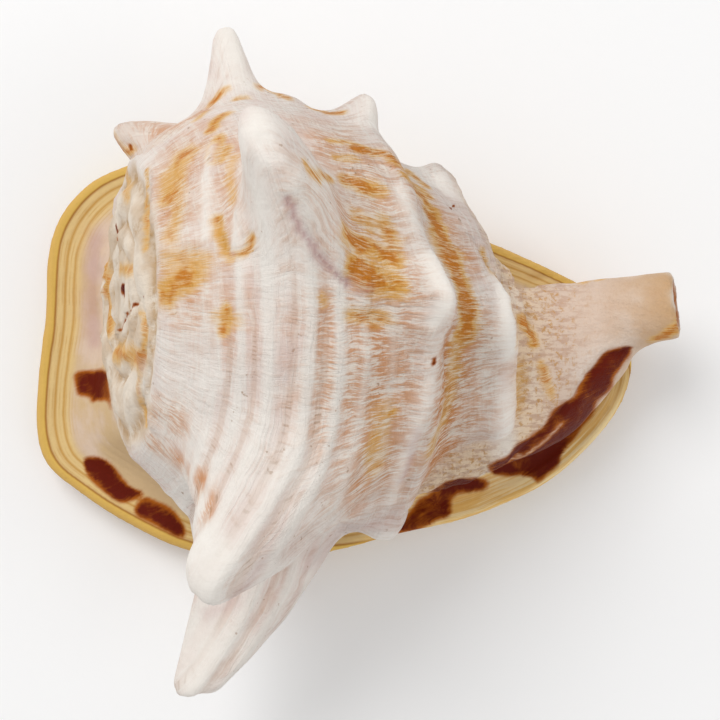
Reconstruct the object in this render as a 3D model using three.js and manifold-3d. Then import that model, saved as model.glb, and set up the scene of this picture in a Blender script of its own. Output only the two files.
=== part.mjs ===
// A horned helmet shell, one of the sea snail shells sold as conch shells, lying on its aperture side.
// Millimetres, +Z up. +X runs towards the upturned siphonal canal, -X towards the flat spire,
// -Y towards the thick outer lip and +Y towards the thin parietal shield.
// The shell is one piece: a coiled body with long horns, on a broad plate of lip and shield,
// with a narrow toothed aperture in its underside that opens into the hollow body.
import * as THREE from "three";
import { mergeVertices } from "three/addons/utils/BufferGeometryUtils.js";
import Module from "manifold-3d";

const wasm = await Module();
wasm.setup();

const DEGREE = Math.PI / 180;

// The coiling axis starts at the spire's tip and dips towards the canal.
const SPIRE_TIP = new THREE.Vector3(-70.5, 20, 67);
const AXIS_DIP = 18 * DEGREE;
const AXIS = new THREE.Vector3(Math.cos(AXIS_DIP), 0, -Math.sin(AXIS_DIP));
const AXIS_UP = new THREE.Vector3(Math.sin(AXIS_DIP), 0, Math.cos(AXIS_DIP));
const AXIS_SIDE = new THREE.Vector3(0, 1, 0);

// Moves the finished shell so that the middle of its footprint is at the origin.
const TO_MIDDLE = [2.7, 0.6, 0];

// The whorl grows away from the spire's tip as it turns over the top, from the shield side round to
// the lip side: a whole turn multiplies its place along the axis and its radius by this.
const WHORL_GROWTH = 1.64;
const GROWTH_END = 240 * DEGREE; // past here the section closes under the plate
const GROWTH_START = -60 * DEGREE;
const STILL_FROM = 104; // along the profile, where the growth along the axis starts to fade
const STILL_TO = 130;

// Profile of the body seen at the top: distance along the axis, then radius.
const PROFILE = [
  [0, 0],
  [0.3, 10],
  [0.7, 22],
  [1.2, 32],
  [2, 38],
  [4, 42.5],
  [8, 46.5],
  [14, 52],
  [22, 58],
  [30, 61.5],
  [37, 63],
  [46, 62.5],
  [55, 61],
  [64, 59.5],
  [70, 59.3],
  [74, 59.5],
  [77, 57],
  [80.5, 51.5],
  [85, 47.5],
  [92, 45],
  [98, 42.5],
  [102, 41],
  [105, 36.5],
  [109, 30],
  [116, 23.5],
  [125, 16],
  [136, 0],
];
const SUTURE_RADIUS = 37; // of the last whorl's inner edge on the spire, at the top
const SUTURE_DEPTH = 1.6;
const SUTURE_WIDTH = 0.07; // as a share of the radius
const SUTURE_FROM = 8; // radius at which the grooves have faded out at the spire's tip

// The body is a grid: its rings lie closer together at the shoulder and the knobs, and its points
// closer together round the axis at the horns.
const RING_COUNT = 47;
const CLOSE_LENGTHS = [40, 78, 120, 155]; // along the profile's own length
const CLOSE_LENGTH_REACH = 8;
const CLOSE_RINGS = 1.2; // extra rings there, as a share
const ROUND_COUNT = 64;
const CLOSE_ANGLES = [-33, 1, 64, 78, 143, 184];
const CLOSE_ANGLE_REACH = 10;
const CLOSE_POINTS = 1.8;
const BODY_FLOOR = 4; // the body's underside ends inside the plate, above this height
const FLOOR_SOFTNESS = 4;

// Horns and knobs: where each stands (along the axis, and in degrees round it from +Y over the top),
// the way it points round the axis, how far it rises, how far its tip leans back along the axis,
// its half width along the axis, and its half widths behind and ahead of it in the way of growth.
const HORNS = [
  { along: 30, round: -33, points: -8, out: 9, back: 22, wide: 10, behind: 9, ahead: 10 },
  { along: 37, round: 1, points: -2, out: 22, back: 2, wide: 6.5, behind: 7, ahead: 7 },
  { along: 37, round: 71, points: 47, out: 27, back: 13, wide: 10, behind: 13, ahead: 17 },
  { along: 37, round: 143, points: 153, out: 31, back: 27, wide: 15, behind: 14, ahead: 12 },
  { along: 39, round: 184, points: 180, out: 49, back: 20, wide: 16, behind: 9, ahead: 11 },
  { along: 75, round: 17, points: 14, out: 6, back: -4, wide: 5, behind: 7, ahead: 7 },
  { along: 73, round: 93, points: 93, out: 8, back: -2, wide: 7, behind: 9, ahead: 9 },
  { along: 70, round: 176, points: 178, out: 6, back: 0, wide: 7, behind: 8, ahead: 8 },
  { along: 103, round: 26, points: 20, out: 2.5, back: -1, wide: 5, behind: 6, ahead: 6 },
  { along: 102, round: 104, points: 100, out: 4, back: 0, wide: 6, behind: 9, ahead: 9 },
  { along: 102, round: 146, points: 146, out: 6, back: 0, wide: 6, behind: 8, ahead: 8 },
];
const SKIRT = 2.5; // a horn's foot fades out this many half widths from its middle
const SKIRT_FROM = 1; // and starts to fade here
const TIP_BEND = 1.3; // more than 1 bends a horn back most at its tip
const LEAST_RADIUS = 20; // nearer the axis than this, a horn's width round it no longer shrinks

// Folds between the shoulder's horns and the knobs of the second row: their two ends
// (along the axis, round it), how far they rise and their half width.
const FOLDS = [
  { from: [40, 80], to: [73, 93], out: 4.5, wide: 9 },
  { from: [40, 5], to: [72, 15], out: 2, wide: 8 },
  { from: [44, 150], to: [71, 172], out: 3, wide: 11 },
  { from: [78, 93], to: [101, 102], out: 2.5, wide: 8 },
];

// Outline of the plate of lip and shield, round from the canal over the shield side.
const PLATE_OUTLINE = [
  [85, 13],
  [75, 23],
  [63.8, 29],
  [49, 36],
  [36, 41.5],
  [19.6, 50.7],
  [-3.3, 62],
  [-29.5, 69.4],
  [-55.6, 69.5],
  [-76.9, 63.5],
  [-87.5, 58.5],
  [-94.5, 52],
  [-99, 45],
  [-101.8, 36],
  [-103, 15],
  [-105.5, -8],
  [-105.7, -24],
  [-102.5, -34],
  [-91.6, -43.5],
  [-75.3, -54],
  [-57.3, -62.2],
  [-35, -66],
  [-10, -63],
  [13, -57],
  [33.4, -52.4],
  [50.4, -45.8],
  [62.5, -39.3],
  [76.9, -26.2],
  [86.2, -13],
  [89, 0],
];
const PLATE_CENTRE = [-8, 3];
const PLATE_SIDES = 72;

// Section of the plate from the middle of the underside, round the rim, to the middle of the top:
// distance in from the rim, then height.
const PLATE_SECTION = [
  [44, 3],
  [27, 0],
  [14, 0],
  [8, 2],
  [3.5, 5.2],
  [0.6, 8.6],
  [0.2, 11.6],
  [2.6, 13.6],
  [6, 12.2],
  [11, 11.6],
  [20, 13],
  [32, 17],
];
const PLATE_TOP = 17;

// The neck between the body and the tip of the siphonal canal: centre of each section, then its
// half width across and its half height.
const NECK = [
  [14, -4, 34, 40, 27],
  [34, -4, 31, 34, 27],
  [50, -3, 28, 27, 24],
  [62, 3, 27, 23, 19],
  [72, 8.5, 28, 18.5, 15],
  [80, 13.2, 30.5, 13.5, 12.5],
  [88, 15.8, 35, 10.6, 10.5],
  [94, 17, 40, 10, 10],
];
const NECK_SIDES = 24;

// The bore of the canal, from the tip down to the aperture: centre of each section, then its radius.
const CANAL = [
  [100, 17.5, 44, 6.8],
  [95.5, 17, 40, 6.2],
  [88, 15.6, 34.5, 5.6],
  [79, 13.6, 27, 5],
  [70, 12, 19, 4.6],
  [60, 10.5, 13, 4.4],
  [50, 8, 11, 4.2],
];
const CANAL_SIDES = 12;

// The aperture, a slit along the underside: centre of each section, its half width and its height.
const APERTURE = [
  [-67, 3, 0.8, 14],
  [-62, 2, 2.4, 22],
  [-50, 0, 4.4, 25],
  [-30, -2, 6.2, 25],
  [-8, -2, 7.4, 25],
  [14, 0, 7.6, 24],
  [34, 4.5, 6.8, 20],
  [50, 8.5, 5, 16],
  [64, 11.5, 3.2, 17],
  [78, 13.5, 2.4, 26],
  [92, 15.8, 2.2, 38],
  [101, 17, 2.2, 46],
];
const MOUTH_FLARE = 4.5; // extra half width of the aperture at the lowest point of its edges
const MOUTH_DEPTH = 7;
const FLARED_HALF = 5; // where the aperture's half width is less than this, its mouth flares less
const THROAT_SHARE = 0.8; // of the half width, at the aperture's ceiling
const PAST = 2; // how far the cut starts below the underside

// Teeth of the outer lip and folds of the shield at the aperture's two edges: first and last place
// along it, their number, and the half sizes of one along, across and upwards.
const TEETH = { from: -44, to: 44, count: 7, size: [3.4, 3.4, 4], side: -1 };
const SHIELD_FOLDS = { from: -30, to: 38, count: 8, size: [1.8, 2.8, 3.2], side: 1 };
const TOOTH_HEIGHT = 5;
const TOOTH_SIDES = 8;
const TOOTH_BANDS = 6;
const EDGE_STEPS = 400;

// The hollow of the last whorl: place round the axis in degrees, middle along it, middle radius,
// half length and half depth.
const HOLLOW = [
  [-50, 29, 27, 6, 4],
  [-35, 31, 29, 13, 8],
  [-10, 34, 32, 18, 11.5],
  [15, 37, 34, 21, 13],
  [40, 40, 36, 23, 14.5],
  [78, 43, 37, 26, 16],
  [100, 45, 38, 30, 18],
  [130, 47, 40, 33, 19],
  [165, 49, 41.5, 35, 19.5],
  [195, 52, 42.5, 38, 20],
  [220, 54, 40, 40, 17.5],
  [238, 56, 34, 42, 11.5],
  [250, 57, 31, 42, 9],
  [259, 57, 30, 38, 5],
];
const HOLLOW_SIDES = 16;

const FINE_STEPS = 2000; // for spacing points unevenly
const TINY = 1e-9;
const WELD = 1e-4; // points closer than this are one point

// Rises smoothly from 0 to 1 as x passes between two values.
const smooth = (from, to, x) => {
  const t = Math.min(1, Math.max(0, (x - from) / (to - from)));
  return t * t * (3 - 2 * t);
};

// How far round the growth has gone at an angle, counted from the top; it falls back under the plate.
function grownAngle(round) {
  let turn = round;
  while (turn < GROWTH_START) turn += 2 * Math.PI;
  while (turn >= GROWTH_START + 2 * Math.PI) turn -= 2 * Math.PI;
  if (turn <= GROWTH_END) return turn - Math.PI / 2;
  const share = smooth(GROWTH_END, GROWTH_START + 2 * Math.PI, turn);
  const high = GROWTH_END - Math.PI / 2;
  const low = GROWTH_START - Math.PI / 2;
  return high + share * (low - high);
}

const profileCurve = new THREE.CatmullRomCurve3(
  PROFILE.map(([along, radius]) => new THREE.Vector3(along, radius, 0)),
  false,
  "centripetal",
);

const growthAt = (round) => Math.exp((Math.log(WHORL_GROWTH) * grownAngle(round)) / (2 * Math.PI));

// The point at a distance along the axis, a distance out from it and an angle round it.
function inBody(along, outwards, round) {
  return SPIRE_TIP.clone()
    .addScaledVector(AXIS, along)
    .addScaledVector(AXIS_SIDE, outwards * Math.cos(round))
    .addScaledVector(AXIS_UP, outwards * Math.sin(round));
}

// The shorter turn from one angle to another.
const turnBetween = (round, angle) => Math.atan2(Math.sin(round - angle), Math.cos(round - angle));

// Height of a horn, as a share, at a distance counted in half widths: a round tip on concave sides.
const hornShape = (distance) => (1 - smooth(SKIRT_FROM, SKIRT, distance)) / (1 + distance ** 3);

// How deep the groove between two whorls of the spire is at a place.
function sutureAt(radius, round) {
  if (radius < SUTURE_FROM) return 0;
  const growth = Math.log(WHORL_GROWTH);
  const turns = Math.log(radius / SUTURE_RADIUS) / growth - (round - Math.PI / 2) / (2 * Math.PI);
  const off = ((turns - Math.round(turns)) * growth) / SUTURE_WIDTH;
  const fade = smooth(SUTURE_FROM, 2 * SUTURE_FROM, radius);
  return SUTURE_DEPTH * fade * Math.exp(-(off ** 2)) * (1 - smooth(1, 1.5, radius / SUTURE_RADIUS));
}

// How far the folds lift the surface at a place.
function foldAt(along, round, radius) {
  return FOLDS.reduce((lift, { from, to, out, wide }) => {
    const share = Math.min(1, Math.max(0, (along - from[0]) / (to[0] - from[0])));
    const middle = THREE.MathUtils.lerp(from[1], to[1], share) * DEGREE;
    const beyond = Math.max(from[0] - along, along - to[0], 0) / wide;
    const aside = (turnBetween(round, middle) * radius) / wide;
    return lift + out * Math.exp(-(aside ** 2) - beyond ** 2);
  }, 0);
}

// Keeps the body's underside inside the plate: a point near the floor sinks no lower than it.
function liftedTo(floor, point) {
  const above = point.z - floor - FLOOR_SOFTNESS;
  if (above < 0) point.z = floor + FLOOR_SOFTNESS * Math.exp(above / FLOOR_SOFTNESS);
  return point;
}

// A point of the body, at a share of the profile and an angle round the axis.
function bodyPoint(share, round) {
  const base = profileCurve.getPoint(share);
  const growth = growthAt(round);
  const radius = base.y * growth;
  const still = smooth(STILL_FROM, STILL_TO, base.x);
  const along = base.x * THREE.MathUtils.lerp(growth, 1, still) + sutureAt(radius, round);
  const point = inBody(along, radius + foldAt(base.x, round, radius), round);
  for (const horn of HORNS) {
    const turn = turnBetween(round, horn.round * DEGREE);
    const across = (turn * Math.max(radius, LEAST_RADIUS)) / (turn < 0 ? horn.behind : horn.ahead);
    const height = hornShape(Math.hypot(across, (base.x - horn.along) / horn.wide));
    if (height > 0) {
      const outwards = inBody(0, 1, horn.points * DEGREE).sub(SPIRE_TIP);
      point.addScaledVector(outwards, horn.out * height);
      point.addScaledVector(AXIS, -horn.back * height ** TIP_BEND);
    }
  }
  return liftedTo(BODY_FLOOR, point);
}

// A closed surface from rings of points, with one point at each end.
function closedRings(rings, first, last) {
  const size = rings[0].length;
  const points = [first, ...rings.flat(), last];
  const index = [];
  const at = (ring, i) => 1 + ring * size + (i % size);
  for (let i = 0; i < size; i += 1) {
    index.push(0, at(0, i + 1), at(0, i));
    index.push(points.length - 1, at(rings.length - 1, i), at(rings.length - 1, i + 1));
    for (let ring = 0; ring + 1 < rings.length; ring += 1) {
      index.push(at(ring, i), at(ring, i + 1), at(ring + 1, i));
      index.push(at(ring, i + 1), at(ring + 1, i + 1), at(ring + 1, i));
    }
  }
  const geometry = new THREE.BufferGeometry().setFromPoints(points);
  geometry.setIndex(index);
  return geometry;
}

// A solid from a closed geometry.
function solidOf(geometry) {
  const merged = mergeVertices(
    new THREE.BufferGeometry()
      .setAttribute("position", geometry.getAttribute("position"))
      .setIndex(geometry.index),
    WELD,
  );
  return new wasm.Manifold(
    new wasm.Mesh({
      numProp: 3,
      vertProperties: merged.attributes.position.array,
      triVerts: new Uint32Array(merged.index.array),
    }),
  );
}

// Values from one to another, set closer together near the given centres.
function stations(from, to, count, centres, reach, closeness) {
  const step = (to - from) / FINE_STEPS;
  const crowd = (x) => centres.reduce((sum, c) => sum + Math.exp(-(((x - c) / reach) ** 2)), 0);
  const total = [0];
  for (let i = 1; i <= FINE_STEPS; i += 1) {
    total.push(total[i - 1] + 1 + closeness * Math.min(1, crowd(from + (i - 0.5) * step)));
  }
  return Array.from({ length: count + 1 }, (_, n) => {
    const wanted = (total[FINE_STEPS] * n) / count;
    const i = total.findIndex((sum) => sum >= wanted - TINY);
    return from + i * step;
  });
}

// The body: a grid of rings along the profile's length, each ring once round the axis.
function bodyGeometry() {
  const start = GROWTH_START / DEGREE;
  const angles = stations(start, start + 360, ROUND_COUNT, CLOSE_ANGLES, CLOSE_ANGLE_REACH, CLOSE_POINTS);
  const length = profileCurve.getLength();
  const lengths = stations(0, length, RING_COUNT, CLOSE_LENGTHS, CLOSE_LENGTH_REACH, CLOSE_RINGS);
  const shares = lengths.slice(1, -1).map((s) => profileCurve.getUtoTmapping(s / length));
  return closedRings(
    shares.map((share) => angles.slice(0, -1).map((degree) => bodyPoint(share, degree * DEGREE))),
    bodyPoint(0, 0),
    bodyPoint(1, 0),
  );
}

// The plate of lip and shield: its section, swept round its outline.
function plateGeometry() {
  const outline = new THREE.CatmullRomCurve3(
    PLATE_OUTLINE.map(([x, y]) => new THREE.Vector3(x, y, 0)),
    true,
    "centripetal",
  );
  const points = outline.getSpacedPoints(PLATE_SIDES).slice(0, PLATE_SIDES);
  const centre = new THREE.Vector3(...PLATE_CENTRE, 0);
  const rings = PLATE_SECTION.map(([inwards, height]) =>
    points.map((rim) => {
      const reach = rim.distanceTo(centre);
      const place = rim.clone().lerp(centre, inwards / reach);
      place.z = height;
      return place;
    }),
  );
  return closedRings(rings, centre.clone().setZ(PLATE_SECTION[0][1]), centre.clone().setZ(PLATE_TOP));
}

// A solid along a path: oval sections square to it, with flat ends.
// Each row has the centre of a section, its half width across and its half height.
function sweptOvals(rows, sides) {
  const centres = rows.map(([x, y, z]) => new THREE.Vector3(x, y, z));
  const rings = rows.map(([, , , across, high], i) => {
    const along = centres[Math.min(i + 1, rows.length - 1)].clone().sub(centres[Math.max(i - 1, 0)]);
    const side = new THREE.Vector3(0, 0, 1).cross(along.normalize()).normalize();
    const up = along.clone().cross(side);
    return Array.from({ length: sides }, (_, n) => {
      const turn = (n / sides) * 2 * Math.PI;
      return centres[i]
        .clone()
        .addScaledVector(side, across * Math.cos(turn))
        .addScaledVector(up, high * Math.sin(turn));
    });
  });
  return closedRings(rings, centres[0], centres.at(-1));
}

// The slit of the aperture and the open underside of the canal.
function apertureGeometry() {
  const rings = APERTURE.map(([x, y, half, height], i) => {
    const before = APERTURE[Math.max(i - 1, 0)];
    const after = APERTURE[Math.min(i + 1, APERTURE.length - 1)];
    const side = new THREE.Vector3(before[1] - after[1], after[0] - before[0], 0).normalize();
    const mouth = half + MOUTH_FLARE * Math.min(1, half / FLARED_HALF);
    const throat = half * THROAT_SHARE;
    const corners = [
      [mouth, -PAST],
      [half, MOUTH_DEPTH],
      [throat, height],
      [-throat, height],
      [-half, MOUTH_DEPTH],
      [-mouth, -PAST],
    ];
    return corners.map(([across, z]) => new THREE.Vector3(x, y, z).addScaledVector(side, across));
  });
  const middle = ([x, y, , height]) => new THREE.Vector3(x, y, height / 2);
  return closedRings(rings, middle(APERTURE[0]), middle(APERTURE.at(-1)));
}

// A row of rounded ridges on one edge of the aperture.
function edgeRow({ from, to, count, size, side }) {
  const path = new THREE.CatmullRomCurve3(
    APERTURE.map(([x, y, half]) => new THREE.Vector3(x, y + side * half, 0)),
    false,
    "centripetal",
  );
  const places = path.getPoints(EDGE_STEPS);
  return Array.from({ length: count }, (_, n) => {
    const x = from + ((to - from) * n) / (count - 1);
    const place = places.find((point) => point.x >= x);
    const ridge = new THREE.SphereGeometry(1, TOOTH_SIDES, TOOTH_BANDS);
    ridge.scale(...size);
    ridge.translate(place.x, place.y, TOOTH_HEIGHT);
    return solidOf(ridge);
  });
}

// The hollow of the last whorl: an oval tube that narrows as it turns back over the top.
function hollowGeometry() {
  const rings = HOLLOW.map(([degree, along, radius, length, depth]) =>
    Array.from({ length: HOLLOW_SIDES }, (_, n) => {
      const turn = (n / HOLLOW_SIDES) * 2 * Math.PI;
      return inBody(along + length * Math.cos(turn), radius + depth * Math.sin(turn), degree * DEGREE);
    }),
  );
  const middle = ([degree, along, radius]) => inBody(along, radius, degree * DEGREE);
  return closedRings(rings, middle(HOLLOW[0]), middle(HOLLOW.at(-1)));
}

const body = solidOf(bodyGeometry());
const plate = solidOf(plateGeometry());
const neck = solidOf(sweptOvals(NECK, NECK_SIDES));
const aperture = solidOf(apertureGeometry());
const canal = solidOf(sweptOvals(CANAL.map((row) => [...row, row[3]]), CANAL_SIDES));
const hollow = solidOf(hollowGeometry());
const outside = wasm.Manifold.union([body, plate, neck]);
const inside = wasm.Manifold.union([aperture, canal, hollow]);
const edges = [...edgeRow(TEETH), ...edgeRow(SHIELD_FOLDS)];
const shellSolid = wasm.Manifold.union([outside.subtract(inside), ...edges]).translate(TO_MIDDLE);

// The geometry of a finished solid.
function geometryOf(solid) {
  const mesh = solid.getMesh();
  const geometry = new THREE.BufferGeometry();
  geometry.setAttribute("position", new THREE.BufferAttribute(mesh.vertProperties, 3));
  geometry.setIndex(new THREE.BufferAttribute(mesh.triVerts, 1));
  geometry.computeVertexNormals();
  return geometry;
}

const SHELL_COLOUR = 0xe3d6cc;
const shell = new THREE.Mesh(
  geometryOf(shellSolid),
  new THREE.MeshStandardMaterial({ color: SHELL_COLOUR, roughness: 0.45, metalness: 0 }),
);
shell.name = "shell";

const part = new THREE.Group();
part.add(shell);
export default part;
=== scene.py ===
"""Dressed model of a horned helmet shell lying on its aperture side.

The shell is one grown piece. Its outside is the union of a coiled body with horns and knobs, a broad
plate of outer lip and parietal shield, and the neck of the siphonal canal. A toothed slit in the
underside opens into the hollow of the last whorl. All shapes are worked out in millimetres as whole
numpy arrays and turned into metres when a mesh is made.
"""
import logging
from dataclasses import dataclass
from enum import Enum
from functools import reduce
from typing import Sequence

import bpy
import numpy as np
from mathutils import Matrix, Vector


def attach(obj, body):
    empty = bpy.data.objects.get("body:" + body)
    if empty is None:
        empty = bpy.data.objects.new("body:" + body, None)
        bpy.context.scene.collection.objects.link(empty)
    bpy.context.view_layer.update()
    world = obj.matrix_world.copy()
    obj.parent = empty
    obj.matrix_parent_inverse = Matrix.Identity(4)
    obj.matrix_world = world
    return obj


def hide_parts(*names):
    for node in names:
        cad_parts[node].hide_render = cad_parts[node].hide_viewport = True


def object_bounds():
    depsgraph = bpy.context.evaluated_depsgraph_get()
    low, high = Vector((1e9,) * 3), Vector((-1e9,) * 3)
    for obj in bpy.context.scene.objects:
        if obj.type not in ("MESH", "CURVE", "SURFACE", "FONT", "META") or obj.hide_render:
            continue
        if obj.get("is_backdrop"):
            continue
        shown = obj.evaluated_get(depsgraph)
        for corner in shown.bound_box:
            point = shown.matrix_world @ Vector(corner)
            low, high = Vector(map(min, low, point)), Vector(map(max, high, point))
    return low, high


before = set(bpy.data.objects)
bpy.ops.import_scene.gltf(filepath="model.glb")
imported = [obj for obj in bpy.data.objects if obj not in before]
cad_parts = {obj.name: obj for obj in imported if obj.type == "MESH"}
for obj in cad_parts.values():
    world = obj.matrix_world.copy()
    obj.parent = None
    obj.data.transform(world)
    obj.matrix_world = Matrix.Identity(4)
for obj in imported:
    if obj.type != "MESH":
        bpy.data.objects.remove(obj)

LOG = logging.getLogger("shell")
MM = 0.001  # metres in a millimetre
DECIMETRE = 100.0  # millimetres in a decimetre
SENSOR = 36.0  # width of the camera's sensor, in millimetres


# Small helpers
def smooth(low: float, high: float, x: np.ndarray) -> np.ndarray:
    """Rise smoothly from 0 at low to 1 at high: t squared times (3 - 2 t).

    Args:
        low: Value at which the rise starts.
        high: Value at which it ends.
        x: Values to look up.

    Returns:
        Shares between 0 and 1, shaped as x.
    """
    t = np.clip((x - low) / (high - low), 0.0, 1.0)
    return t * t * (3.0 - 2.0 * t)


def bell(x: np.ndarray) -> np.ndarray:
    """Return e to the minus x squared."""
    return np.exp(-x * x)


def wrapped(angle: np.ndarray) -> np.ndarray:
    """Bring angles in radians into the range from minus pi to pi."""
    return np.arctan2(np.sin(angle), np.cos(angle))


def through(points: Sequence[Sequence[float]], per_span: int, closed: bool = False) -> np.ndarray:
    """Run a centripetal Catmull-Rom curve through points.

    Between two points the curve is the cubic whose end slopes come from the square roots of the
    distances to the neighbouring points.

    Args:
        points: The points, in any number of dimensions.
        per_span: Number of steps between two points.
        closed: Whether the curve returns to its start.

    Returns:
        Points along the curve, including the last one if it is open.
    """
    p = np.asarray(points, float)
    if closed:
        a, b, c, d = np.roll(p, 1, 0), p, np.roll(p, -1, 0), np.roll(p, -2, 0)
    else:
        ends = np.vstack([2 * p[0] - p[1], p, 2 * p[-1] - p[-2]])
        a, b, c, d = ends[:-3], ends[1:-2], ends[2:-1], ends[3:]
    steps = (b - a, c - b, d - c)
    ab, bc, cd = (np.sqrt(np.linalg.norm(step, axis=1, keepdims=True)) + 1e-9 for step in steps)
    start = ((b - a) / ab - (c - a) / (ab + bc) + (c - b) / bc) * bc
    end = ((c - b) / bc - (d - b) / (bc + cd) + (d - c) / cd) * bc
    t = (np.arange(per_span) / per_span)[None, :, None]
    b, c, start, end = (q[:, None, :] for q in (b, c, start, end))
    curve = b + start * t + (-3 * b + 3 * c - 2 * start - end) * t**2 + (2 * b - 2 * c + start + end) * t**3
    curve = curve.reshape(-1, p.shape[1])
    return curve if closed else np.vstack([curve, p[-1:]])


def evenly(curve: np.ndarray, count: int, closed: bool = False) -> np.ndarray:
    """Pick evenly spaced points along a curve.

    Args:
        curve: Dense points of the curve.
        count: Number of points wanted.
        closed: Whether the curve returns to its start, which is then not repeated.

    Returns:
        The points picked.
    """
    loop = np.vstack([curve, curve[:1]]) if closed else curve
    length = np.concatenate([[0], np.cumsum(np.linalg.norm(np.diff(loop, axis=0), axis=1))])
    wanted = np.linspace(0, length[-1], count + 1)[:-1] if closed else np.linspace(0, length[-1], count)
    return np.stack([np.interp(wanted, length, loop[:, i]) for i in range(loop.shape[1])], 1)


class LatticeNoise:
    """Smooth random values in space: random numbers on a lattice, blended between its points."""

    def __init__(self, seed: int) -> None:
        """Fill a repeating lattice of 32 points a side with numbers from -1 to 1."""
        self.lattice = np.random.default_rng(seed).uniform(-1, 1, (32, 32, 32))

    def at(self, points: np.ndarray, size: float) -> np.ndarray:
        """Look the noise up.

        Args:
            points: Places, as rows of three numbers.
            size: Distance between the lattice's points, in the places' unit.

        Returns:
            One value per place, from -1 to 1.
        """
        scaled = points / size
        cell = np.floor(scaled).astype(int)
        part = scaled - cell
        part = part * part * (3 - 2 * part)
        value = np.zeros(len(points))
        for corner in np.ndindex(2, 2, 2):
            weight = np.prod(np.where(np.array(corner) == 1, part, 1 - part), axis=1)
            i, j, k = ((cell + corner) % 32).T
            value += weight * self.lattice[i, j, k]
        return value

    def layered(self, points: np.ndarray, size: float, layers: int = 3) -> np.ndarray:
        """Add layers of noise, each half as large and half as strong as the last."""
        return sum(self.at(points + 17.3 * n, size / 2**n) / 2**n for n in range(layers))


# Surfaces and meshes
@dataclass
class Surface:
    """Points in millimetres and faces of three or four points; a triangle's fourth number is -1."""

    points: np.ndarray
    faces: np.ndarray

    @classmethod
    def of_rings(cls, grid: np.ndarray, first: np.ndarray, last: np.ndarray) -> "Surface":
        """Close a stack of rings with one point at each end.

        Args:
            grid: Rings of points, shaped (rings, points in a ring, 3).
            first: Point that closes the first ring.
            last: Point that closes the last ring.

        Returns:
            The closed surface, facing outwards.
        """
        rings, size, _ = grid.shape
        points = np.vstack([first[None], grid.reshape(-1, 3), last[None]])
        i = np.arange(size)
        j = (i + 1) % size
        none = np.full(size, -1)
        row = 1 + np.arange(rings - 1)[:, None] * size
        walls = np.stack([row + i, row + j, row + size + j, row + size + i], -1).reshape(-1, 4)
        end = 1 + (rings - 1) * size
        first_cap = np.stack([0 * i, 1 + j, 1 + i, none], 1)
        last_cap = np.stack([0 * i + len(points) - 1, end + i, end + j, none], 1)
        return cls(points, np.vstack([walls, first_cap, last_cap])).outward()

    @classmethod
    def of_object(cls, piece: bpy.types.Object) -> "Surface":
        """Read an object's mesh back as triangles.

        Args:
            piece: The object.

        Returns:
            Its surface in millimetres.
        """
        mesh = piece.data
        mesh.calc_loop_triangles()
        points = np.empty(len(mesh.vertices) * 3, np.float32)
        mesh.vertices.foreach_get("co", points)
        faces = np.empty(len(mesh.loop_triangles) * 3, np.int32)
        mesh.loop_triangles.foreach_get("vertices", faces)
        faces = np.hstack([faces.reshape(-1, 3), np.full((len(faces) // 3, 1), -1)])
        return cls(points.reshape(-1, 3).astype(float) / MM, faces)

    def outward(self) -> "Surface":
        """Turn the faces round if the volume that they enclose comes out negative.

        Returns:
            The same surface.
        """
        a, b, c = (self.points[self.faces[:, i]] for i in (0, 1, 2))
        d = self.points[np.where(self.faces[:, 3] < 0, self.faces[:, 2], self.faces[:, 3])]
        volume = np.sum(a * np.cross(b, c)) + np.sum(a * np.cross(c, d))
        if volume < 0:
            quad = self.faces[:, 3:] >= 0
            self.faces = np.where(quad, self.faces[:, ::-1], self.faces[:, [0, 2, 1, 3]])
        return self

    def with_others(self, others: Sequence["Surface"]) -> "Surface":
        """Put several surfaces into one, without uniting them.

        Args:
            others: The other surfaces.

        Returns:
            The joined surface.
        """
        points, faces, start = [self.points], [self.faces], len(self.points)
        for other in others:
            points.append(other.points)
            faces.append(np.where(other.faces < 0, -1, other.faces + start))
            start += len(other.points)
        return Surface(np.vstack(points), np.vstack(faces))

    def to_object(self, name: str) -> bpy.types.Object:
        """Make a mesh object of the surface, in metres, and link it to the scene.

        Args:
            name: Name of the object.

        Returns:
            The new object.
        """
        sizes = np.where(self.faces[:, 3] < 0, 3, 4)
        loops = self.faces[self.faces >= 0]
        mesh = bpy.data.meshes.new(name)
        mesh.vertices.add(len(self.points))
        mesh.vertices.foreach_set("co", (self.points * MM).astype(np.float32).ravel())
        mesh.loops.add(len(loops))
        mesh.loops.foreach_set("vertex_index", loops.astype(np.int32))
        mesh.polygons.add(len(sizes))
        mesh.polygons.foreach_set("loop_start", np.concatenate([[0], np.cumsum(sizes)[:-1]]).astype(np.int32))
        mesh.update(calc_edges=True)
        piece = bpy.data.objects.new(name, mesh)
        bpy.context.scene.collection.objects.link(piece)
        return piece


def applied(piece: bpy.types.Object) -> bpy.types.Object:
    """Replace an object's mesh with what its modifiers make of it.

    Args:
        piece: The object.

    Returns:
        The same object, without modifiers.
    """
    graph = bpy.context.evaluated_depsgraph_get()
    mesh = bpy.data.meshes.new_from_object(piece.evaluated_get(graph))
    old = piece.data
    piece.modifiers.clear()
    piece.data = mesh
    bpy.data.meshes.remove(old)
    return piece


def removed(*pieces: bpy.types.Object) -> None:
    """Delete helper objects and their meshes.

    Args:
        pieces: The objects.
    """
    for piece in pieces:
        mesh = piece.data
        bpy.data.objects.remove(piece)
        bpy.data.meshes.remove(mesh)


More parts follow.
